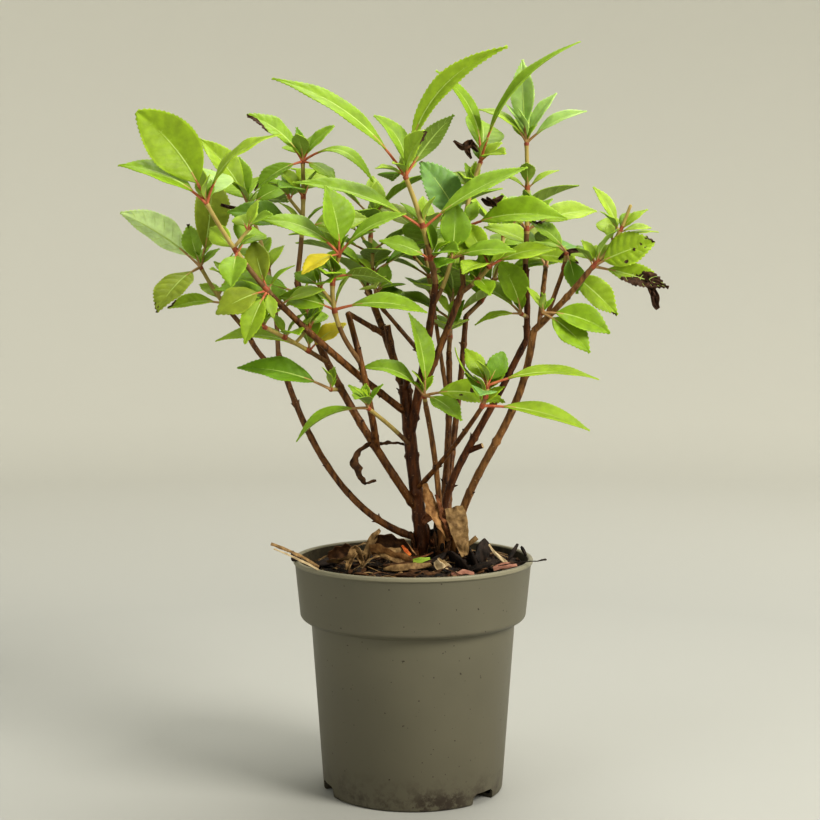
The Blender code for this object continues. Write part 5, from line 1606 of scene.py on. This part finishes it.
def fine_line(path, step):
    """A smooth line through a path's points, with its radii and the distance climbed."""
    knots = np.array([tuple(p) for p in path.points])
    slopes = np.gradient(knots, axis=0)
    line, radii = [], []
    for i in range(len(knots) - 1):
        count = max(1, round(np.linalg.norm(knots[i + 1] - knots[i]) / step))
        t = (np.arange(count) / count)[:, None]
        line.append((2 * t ** 3 - 3 * t ** 2 + 1) * knots[i] + (t ** 3 - 2 * t ** 2 + t) * slopes[i]
                    + (3 * t ** 2 - 2 * t ** 3) * knots[i + 1] + (t ** 3 - t ** 2) * slopes[i + 1])
        radii.append(path.radii[i] + (path.radii[i + 1] - path.radii[i]) * t[:, 0])
    line = np.concatenate([*line, knots[-1:]])
    radii = np.concatenate([*radii, [path.radii[-1]]])
    climbed = np.concatenate([[0], np.cumsum(np.linalg.norm(np.diff(line, axis=0), axis=1))])
    return line, radii, climbed


def off_line(line):
    """A direction that a line never takes."""
    return unit(np.array([tuple(Vector(line[-1] - line[0]).orthogonal())]))[0]


def with_tip(line, reach):
    """The line carried on past its last point."""
    return np.concatenate([line, line[-1:] + unit(line[-1:] - line[-2:-1]) * reach])


def relief(climbed, radii, sides, chance, collar):
    """The radius of every point of a stem: nodes, leaf scars, long ridges and fine roughness."""
    angles = np.arange(sides) * 2 * np.pi / sides
    swell = np.zeros((len(climbed), sides))
    nodes = []
    place = chance.uniform(*FIRST_NODES)
    turn = chance.uniform(0, np.pi)
    while place < climbed[-1] - 2:
        away = climbed - place
        swell += (NODE_SWELL * np.exp(-(away / NODE_WIDTH) ** 2))[:, None]
        scar = np.exp(-(away / SCAR_WIDTH) ** 2)
        for side in (0, np.pi):
            off = (angles - turn - side + np.pi) % (2 * np.pi) - np.pi
            swell += SCAR_SWELL * scar[:, None] * np.exp(-(off / SCAR_SPAN) ** 2)[None, :]
        nodes.append((place, turn))
        turn += np.pi / 2 + chance.uniform(-NODE_TWIST, NODE_TWIST)
        place += chance.uniform(*NODE_SPACING)
    if collar:
        swell += (COLLAR_SWELL * np.exp(-climbed / COLLAR_WIDTH))[:, None]
    seed = chance.uniform(0, 100)
    for i, height in enumerate(climbed):
        for k, angle in enumerate(angles):
            x, y = on_circle(RIDGE_GIRTH, angle)
            spot = Vector((x + seed, y, height * RIDGE_PITCH))
            swell[i, k] += RIDGE * noise.noise(spot * RIDGE_SCALE)
            swell[i, k] += ROUGHNESS * noise.noise(spot * ROUGHNESS_SCALE + ROUGHNESS_AWAY)
    return radii[:, None] * (1 + swell), nodes


def build_stem(piece, path, chance, collar, cut_slot=None):
    """One stem with bark relief. Returns where its nodes are: place, radius and outward direction."""
    line, radii, climbed = fine_line(path, BARK_STEP)
    widths, nodes = relief(climbed, radii, sides_for(path, BARK_SIDES), chance, collar)
    if cut_slot is None:
        line = with_tip(line, radii[-1] * 0.5)
        widths = np.concatenate([widths, widths[-1:] * 0.55])
    aside = off_line(line)
    points, faces = sweep(line, widths, aside, widths.shape[1])
    piece.add(points, faces, [0] * (len(faces) - 1) + [cut_slot or 0])
    run = unit(np.gradient(line, axis=0))
    spots = []
    for place, turn in nodes:
        i = int(np.argmin(np.abs(climbed - place)))
        across = unit(np.cross(run[i:i + 1], aside))[0]
        upward = np.cross(run[i], across)
        for side in (0, np.pi):
            outward = across * math.cos(turn + side) + upward * math.sin(turn + side)
            spots.append((line[i], radii[i], outward, run[i]))
    return spots


def add_bud(piece, spot, chance):
    """A dry pointed bud scale at a leaf scar."""
    place, radius, outward, run = spot
    length = chance.uniform(*BUD_LENGTHS) * (0.6 + 0.25 * radius)
    lean = unit((outward + run * chance.uniform(*BUD_LEANS))[None, :])[0]
    foot = place + outward * radius * 0.8
    line = [foot, foot + lean * length * 0.5, foot + lean * length]
    piece.add(*sweep(line, BUD_RADII, np.cross(lean, outward) + 1e-3, BUD_SIDES))


# ---- pot outline


def drain_cutters():
    """Three wedges with rounded tops where the pot's foot is cut away."""
    half = DRAIN_WIDTH / 2
    section = [(half * y, DRAIN_HEIGHT * z if z else -DRAIN_OVERCUT) for y, z in DRAIN_ARCH]
    points, faces = [], []
    for turn in DRAIN_TURNS:
        faces += ring_faces(2, len(section), len(points))
        outward = compass(turn, 0)
        beside = UP.cross(outward)
        for reach in (POT_FOOT_RADIUS - DRAIN_DEPTH, POT_FOOT_RADIUS + DRAIN_OVERCUT):
            points += [outward * reach + beside * y + UP * z for y, z in section]
    return points, faces


def build_limbs(paths):
    """Every limb with its bark, its dry buds, and the short cut spurs."""
    pale_cut, dry_scale = mottled_set("cut_wood", "dry_scale")
    tones = [bark_finish(name, *shades) for name, shades in BARK_TONES.items()]
    buds = Piece("bud_scales", "bark", [dry_scale])
    for number, (name, limb) in enumerate(LIMBS.items()):
        chance = random.Random(3 * FINE_SEED + number)
        piece = Piece(f"{name}_bark", "bark", [tones[BARK_OF.get(name, 1)], pale_cut])
        cut = 1 if name in CUT_LIMBS else None
        spots = build_stem(piece, paths[name], chance, limb.parent is None, cut)
        for at, tip, radius in SPURS.get(name, ()):
            root, _ = along(paths[name], at)
            tip = Vector(tip)
            spur = Path([root, root.lerp(tip, 0.5), tip], [radius * SPUR_FOOT, radius, radius], None)
            spots += build_stem(piece, spur, chance, False, 1)
        for spot in spots:
            if chance.random() < BUD_SHARE:
                add_bud(buds, spot, chance)
        piece.build(sharp=70, replaces=(name,))
    buds.build()


def build_shoots(paths, twigs):
    """The young shoots and side twigs, joined, with a swelling where each pair of leaves stands."""
    piece = Piece("young_shoots", "bark", mottled_set("young_bark", "young_stem", "young_node"))

    def add(path, stops, brown_to):
        line, radii, climbed = fine_line(path, SHOOT_FINE_STEP)
        near = np.zeros(len(line))
        for stop in stops:
            near = np.maximum(near, np.exp(-((climbed - stop * climbed[-1]) / SHOOT_NODE_WIDTH) ** 2))
        slots = np.where(climbed / climbed[-1] < brown_to, 0, 1)
        slots[near > SHOOT_NODE_TINTED] = 2
        line = with_tip(line, radii[-1] * 0.6)
        widths = np.concatenate([radii * (1 + SHOOT_NODE_SWELL * near), [radii[-1] * 0.5]])
        points, faces = sweep(line, widths, off_line(line), SHOOT_SIDES)
        piece.add(points, faces, slots.repeat(SHOOT_SIDES).tolist() + [0, 1])

    for name, shoot in SHOOTS.items():
        add(paths[name], node_places(shoot), BROWN_TO.get(name, BROWN_TO_ELSEWHERE))
        for twig, _ in twigs[name]:
            add(twig, [1.0], 0.0)
    piece.build(sharp=70)


# ---- pot


def rounded(corners, radius, steps=4):
    """An open outline with its inner corners rounded off."""
    made = [corners[0]]
    for before, here, after in zip(corners, corners[1:], corners[2:]):
        here, before, after = (np.array(p) for p in (here, before, after))
        reach = min(radius, np.linalg.norm(before - here) * 0.45, np.linalg.norm(after - here) * 0.45)
        start = here + (before - here) / np.linalg.norm(before - here) * reach
        end = here + (after - here) / np.linalg.norm(after - here) * reach
        for k in range(steps + 1):
            t = k / steps
            made.append(tuple((1 - t) ** 2 * start + 2 * t * (1 - t) * here + t * t * end))
    return [*made, corners[-1]]


def build_pot():
    """The pot's shell, its foot cut away at the drains, with a darker mottled finish inside."""
    shell = Piece("nursery_pot", "pot_plastic", [pot_finish()])
    shell.add(*closed_turn(rounded(pot_outline(), POT_ROUNDING), FINE_POT_SIDES))
    made = shell.build(sharp=50, replaces=("pot",))
    points, faces = drain_cutters()
    mesh = bpy.data.meshes.new("drain_cutter")
    mesh.from_pydata([tuple(c * MM for c in p) for p in points], [], faces)
    cutter = in_scene("drain_cutter", mesh)
    cut = made.modifiers.new("cut", "BOOLEAN")
    cut.operation = "DIFFERENCE"
    cut.solver = "EXACT"
    cut.object = cutter
    depsgraph = bpy.context.evaluated_depsgraph_get()
    done = bpy.data.meshes.new_from_object(made.evaluated_get(depsgraph), depsgraph=depsgraph)
    made.modifiers.clear()
    bpy.data.objects.remove(cutter)
    made.data = done
    done.materials.append(*mottled_set("inner_wall_plastic"))
    # Faces of the inner wall take the darker mottled finish.
    for face in done.polygons:
        x, y, z = face.center / MM
        if math.hypot(x, y) < INNER_WALL_WITHIN and FLOOR < z < POT_HEIGHT - BEAD_DEPTH:
            face.material_index = int(face.normal.x * x + face.normal.y * y < 0)
    done.shade_smooth()
    done.set_sharp_from_angle(angle=math.radians(50))


# ---- soil and litter


def soil_top(x, y):
    """Height of the soil: nearly level, with low mounds and lumps."""
    mound = sum(high * math.exp(-(math.hypot(x - mx, y - my) / reach) ** 2) for mx, my, high, reach in MOUNDS)
    lumps = sum(high * noise.noise(Vector((x, y, layer)) * pitch) for high, layer, pitch in SOIL_LUMPS)
    return SOIL_LEVEL + mound + lumps


def soil_radius(z):
    """The cavity's radius at a height near its mouth, with a hair of room."""
    (mouth, high), (ledge, low) = pot_cavity()[:2]
    return ledge + (mouth - ledge) * (z - low) / (high - low) - SOIL_ROOM


def build_soil(chance):
    soil = Piece("soil_and_crumbs", "potting_soil", mottled_set("dark_soil", "brown_crumb", "pale_crumb"))
    outer = soil_radius(SOIL_LEVEL)
    points = [(0.0, 0.0, soil_top(0, 0))]
    for ring in range(1, SOIL_RING_COUNT + 1):
        for k in range(SOIL_SECTORS):
            x, y = on_circle(outer * ring / SOIL_RING_COUNT, 2 * math.pi * k / SOIL_SECTORS)
            points.append((x, y, soil_top(x, y)))
    foot = soil_radius(SOIL_LEVEL - SOIL_DEPTH) / outer
    points += [(x * foot, y * foot, SOIL_LEVEL - SOIL_DEPTH) for x, y, _ in points[-SOIL_SECTORS:]]
    centre = [(0, 1 + k, 1 + (k + 1) % SOIL_SECTORS) for k in range(SOIL_SECTORS)]
    rings = ring_faces(SOIL_RING_COUNT + 1, SOIL_SECTORS, 1)
    rings[-2:] = [rings[-1]]
    soil.add(points, centre + [tuple(reversed(face)) for face in rings])
    ball = bmesh.new()
    bmesh.ops.create_icosphere(ball, subdivisions=1, radius=1)
    ball_points = [v.co.copy() for v in ball.verts]
    ball_faces = [tuple(v.index for v in f.verts) for f in ball.faces]
    ball.free()
    for _ in range(CRUMBS):
        x, y = soil_spot(chance, outer - 1.5)
        size = chance.uniform(*CRUMB_SIZES) / 2
        centre = Vector((x, y, soil_top(x, y) + size * 0.35))
        lump = [centre + Vector((p.x, p.y, p.z * 0.75)) * size * chance.uniform(*CRUMB_ROUGH)
                for p in ball_points]
        soil.add(lump, ball_faces, chance.choices((0, 1, 2), CRUMB_SHARES)[0])
    soil.build(sharp=50, replaces=("potting_soil",))


def soil_spot(chance, reach):
    return on_circle(reach * math.sqrt(chance.random()), chance.uniform(0, 2 * math.pi))


def add_chip(piece, centre, turn, rise, roll, size, slot, chance):
    """A flat chip of bark or wood with a broken outline. size is its length, breadth and thickness."""
    length, breadth, thick = (part / 2 for part in size)
    outline = []
    for k in range(CHIP_CORNERS):
        x, y = on_circle(1.0, 2 * math.pi * (k + chance.uniform(-0.3, 0.3)) / CHIP_CORNERS)
        corner = abs(x) ** CHIP_POWER + abs(y) ** CHIP_POWER
        blunt = corner ** (-1 / CHIP_POWER) * chance.uniform(*CHIP_ROUGH)
        outline.append((x * blunt * length, y * blunt * breadth))
    run = compass(turn, rise)
    beside = UP.cross(run).normalized()
    beside, upward = rolled(beside, run.cross(beside), math.radians(roll))
    points = []
    for height, narrowed in CHIP_LAYERS:
        for x, y in outline:
            jog = Vector([chance.uniform(-CHIP_JOG, CHIP_JOG) * breadth for _ in range(3)])
            points.append(Vector(centre) + run * (x * narrowed) + beside * (y * narrowed)
                          + upward * (thick * height) + jog)
    piece.add(points, ring_faces(4, CHIP_CORNERS), slot)


def add_strip(piece, spots, widths, facing, chance, roll=0.5, thick=0.3, crumple=0.0, slots=(0, 1)):
    """A dry leaf or strip along a line, curled across it by an angle in radians, of even thickness."""
    path = Path([Vector(p) for p in spots], [w / 2 for w in widths], None)
    line, half, _ = fine_line(path, STRIP_STEP)
    run = unit(np.gradient(line, axis=0))
    beside = unit(np.cross(run, np.array(facing, float)))
    upward = np.cross(beside, run)
    columns = np.linspace(-1, 1, STRIP_COLUMNS)
    roll = max(roll, STRIP_LEAST_ROLL)
    rows, across = len(line), len(columns)
    seed = chance.uniform(0, 90)
    tops, unders = [], []
    for i in range(rows):
        for v in columns:
            bend = v * roll
            curve = half[i] / roll
            wrinkle = crumple * noise.noise(Vector((i * STRIP_PITCH[0] + seed, v * STRIP_PITCH[1], seed))) * 2
            middle = (line[i] + beside[i] * (curve * math.sin(bend))
                      + upward[i] * (curve * (1 - math.cos(bend)) + wrinkle))
            out = upward[i] * math.cos(bend) - beside[i] * math.sin(bend)
            tops.append(middle + out * thick / 2)
            unders.append(middle - out * thick / 2)
    under, last = rows * across, (rows - 1) * across
    far_end = (*range(last, last + across), *reversed(range(under + last, under + last + across)))
    made = [*slots] * ((rows - 1) * (across - 1)) + [slots[0]] * (2 * rows)
    piece.add(tops + unders, [*sheet_faces(rows, across), far_end], made)


def build_litter(paths, chance):
    """Dead leaves, chips and straw on the soil, the wrapped leaf at the stems and the hanging one."""
    litter = Piece("litter", "potting_soil", [
        mottled(name, dark, light, scale, LITTER_ROUGH, LITTER_RELIEF)
        for name, dark, light, scale in LITTER_FINISHES])
    for strip in STRIPS:
        add_strip(litter, strip.spots, strip.widths, strip.facing, chance, strip.roll, crumple=strip.crumple,
                  slots=strip.slots)
    for chip in CHIPS:
        add_chip(litter, *chip, chance)
    outer = soil_radius(SOIL_LEVEL) - 4.0
    for _ in range(FLAKES):
        x, y = soil_spot(chance, outer)
        length = chance.uniform(*FLAKE_LENGTHS)
        size = (length, length * chance.uniform(0.25, 0.6), chance.uniform(0.4, 1.3))
        spot = (x, y, soil_top(x, y) + chance.uniform(0.2, 1.2))
        finish = chance.choices((DARK, BROWN, TAN), (6, 3, 1))[0]
        turn, rise, roll = chance.uniform(0, 360), chance.uniform(-22, 22), chance.uniform(-35, 35)
        add_chip(litter, spot, turn, rise, roll, size, finish, chance)
    for _ in range(FIBRES):
        x, y = soil_spot(chance, outer)
        start = Vector((x, y, soil_top(x, y) + 0.4))
        turn, length = chance.uniform(0, 360), chance.uniform(*FIBRE_LENGTHS)
        middle = start + compass(turn, 14) * length * 0.5
        end = start + compass(turn + chance.uniform(-40, 40), 2) * length
        if math.hypot(end.x, end.y) > outer + 3:
            continue
        width = chance.uniform(0.5, 1.3)
        add_strip(litter, (start, middle, end), (width, width, width * 0.5), UP, chance, 0.6, 0.25,
                  slots=(TAN, TAN) if chance.random() < 0.6 else (BROWN, BROWN))
    for name in (name for name, limb in LIMBS.items() if limb.parent is None):
        path = paths[name]
        for _ in range(COLLAR_SHARDS if name == "main_stem" else COLLAR_SHARDS // 2):
            climb = chance.uniform(0.0, 15.0)
            turn = chance.uniform(0, 360)
            foot = path.points[0] + UP * climb
            spot = foot + compass(turn, 0) * (path.radii[0] * (1.5 - climb * 0.03) + 0.2)
            size = (chance.uniform(4, 11), chance.uniform(1.4, 3.6), chance.uniform(0.4, 0.8))
            turn, rise, roll = turn + chance.uniform(-25, 25), chance.uniform(58, 84), chance.uniform(-30, 30)
            finish = chance.choices((DARK, BROWN, RUST), (3, 3, 1))[0]
            add_chip(litter, spot, turn, rise, roll, size, finish, chance)
    litter.build(sharp=55)


# ---- stage


def stage_finish():
    """A plain pale tone that is a little greyer near the pot than on the wall."""
    made, tree, shader = new_finish("pale_floor")
    away = add_node(tree, "VectorMath", {0: place_node(tree)}, operation="LENGTH").outputs["Value"]
    share = span_node(tree, away, PALER_FROM, PALER_TO)
    feed(tree, shader, {
        "Specular IOR Level": DRY_SPECULAR,
        "Base Color": mix_node(tree, share, FLOOR_PALE, WALL_PALE),
        "Roughness": span_node(tree, noise_node(tree, 3), *GRAIN_SPAN, 0.8, 0.9),
    })
    return made


def build_stage():
    """A pale floor that curves up on every side, soft lights and the photograph's camera."""
    profile = [(0.001, 0.0), (STAGE_RADIUS - STAGE_CURVE, 0.0)]
    for k in range(1, CURVE_STEPS + 1):
        angle = math.pi / 2 * k / CURVE_STEPS
        across, up = on_circle(STAGE_CURVE, angle - math.pi / 2)
        profile.append((STAGE_RADIUS - STAGE_CURVE + across, STAGE_CURVE + up))
    profile.append((STAGE_RADIUS, STAGE_HEIGHT))
    points, faces = turned(profile, STAGE_SIDES)
    mesh = bpy.data.meshes.new("floor")
    mesh.from_pydata(points, [], faces)
    mesh.shade_smooth()
    mesh.materials.append(stage_finish())
    floor = in_scene("floor", mesh)
    for name, spot, size, power, tone in LIGHTS:
        lamp = bpy.data.lights.new(name, "AREA")
        lamp.shape = "DISK"
        lamp.size = size
        lamp.energy = power
        lamp.color = tone
        made = in_scene(name, lamp)
        made.location = spot
        made.rotation_euler = (LIGHT_AIM - Vector(spot)).to_track_quat("-Z", "Y").to_euler()
        made.visible_camera = False
    world = bpy.data.worlds.new("pale_room")
    world.use_nodes = True
    sky = world.node_tree.nodes["Background"]
    feed(world.node_tree, sky, {"Color": WORLD_PALE, "Strength": WORLD_STRENGTH})
    bpy.context.scene.world = world
    bpy.context.scene.view_settings.view_transform = "Standard"
    bpy.context.scene.view_settings.look = "Medium High Contrast"
    lens = bpy.data.cameras.new("camera")
    lens.lens = CAMERA_LENS
    lens.sensor_width = CAMERA_SENSOR
    lens.clip_start, lens.clip_end = 0.01, 20.0
    camera = in_scene("camera", lens)
    camera.location = CAMERA_PLACE
    camera.rotation_euler = (math.radians(90 - CAMERA_DIP), 0, 0)
    bpy.context.scene.camera = camera


def main():
    paths = plan_paths()
    blades, twigs, claims = plan_leaves(paths)
    finer = grow_finer(paths, twigs, claims)
    build_leaves(blades, finer)
    build_limbs(paths)
    build_shoots(paths, twigs)
    build_pot()
    build_soil(random.Random(SOIL_SEED))
    build_litter(paths, random.Random(LITTER_SEED))
    build_stage()


main()
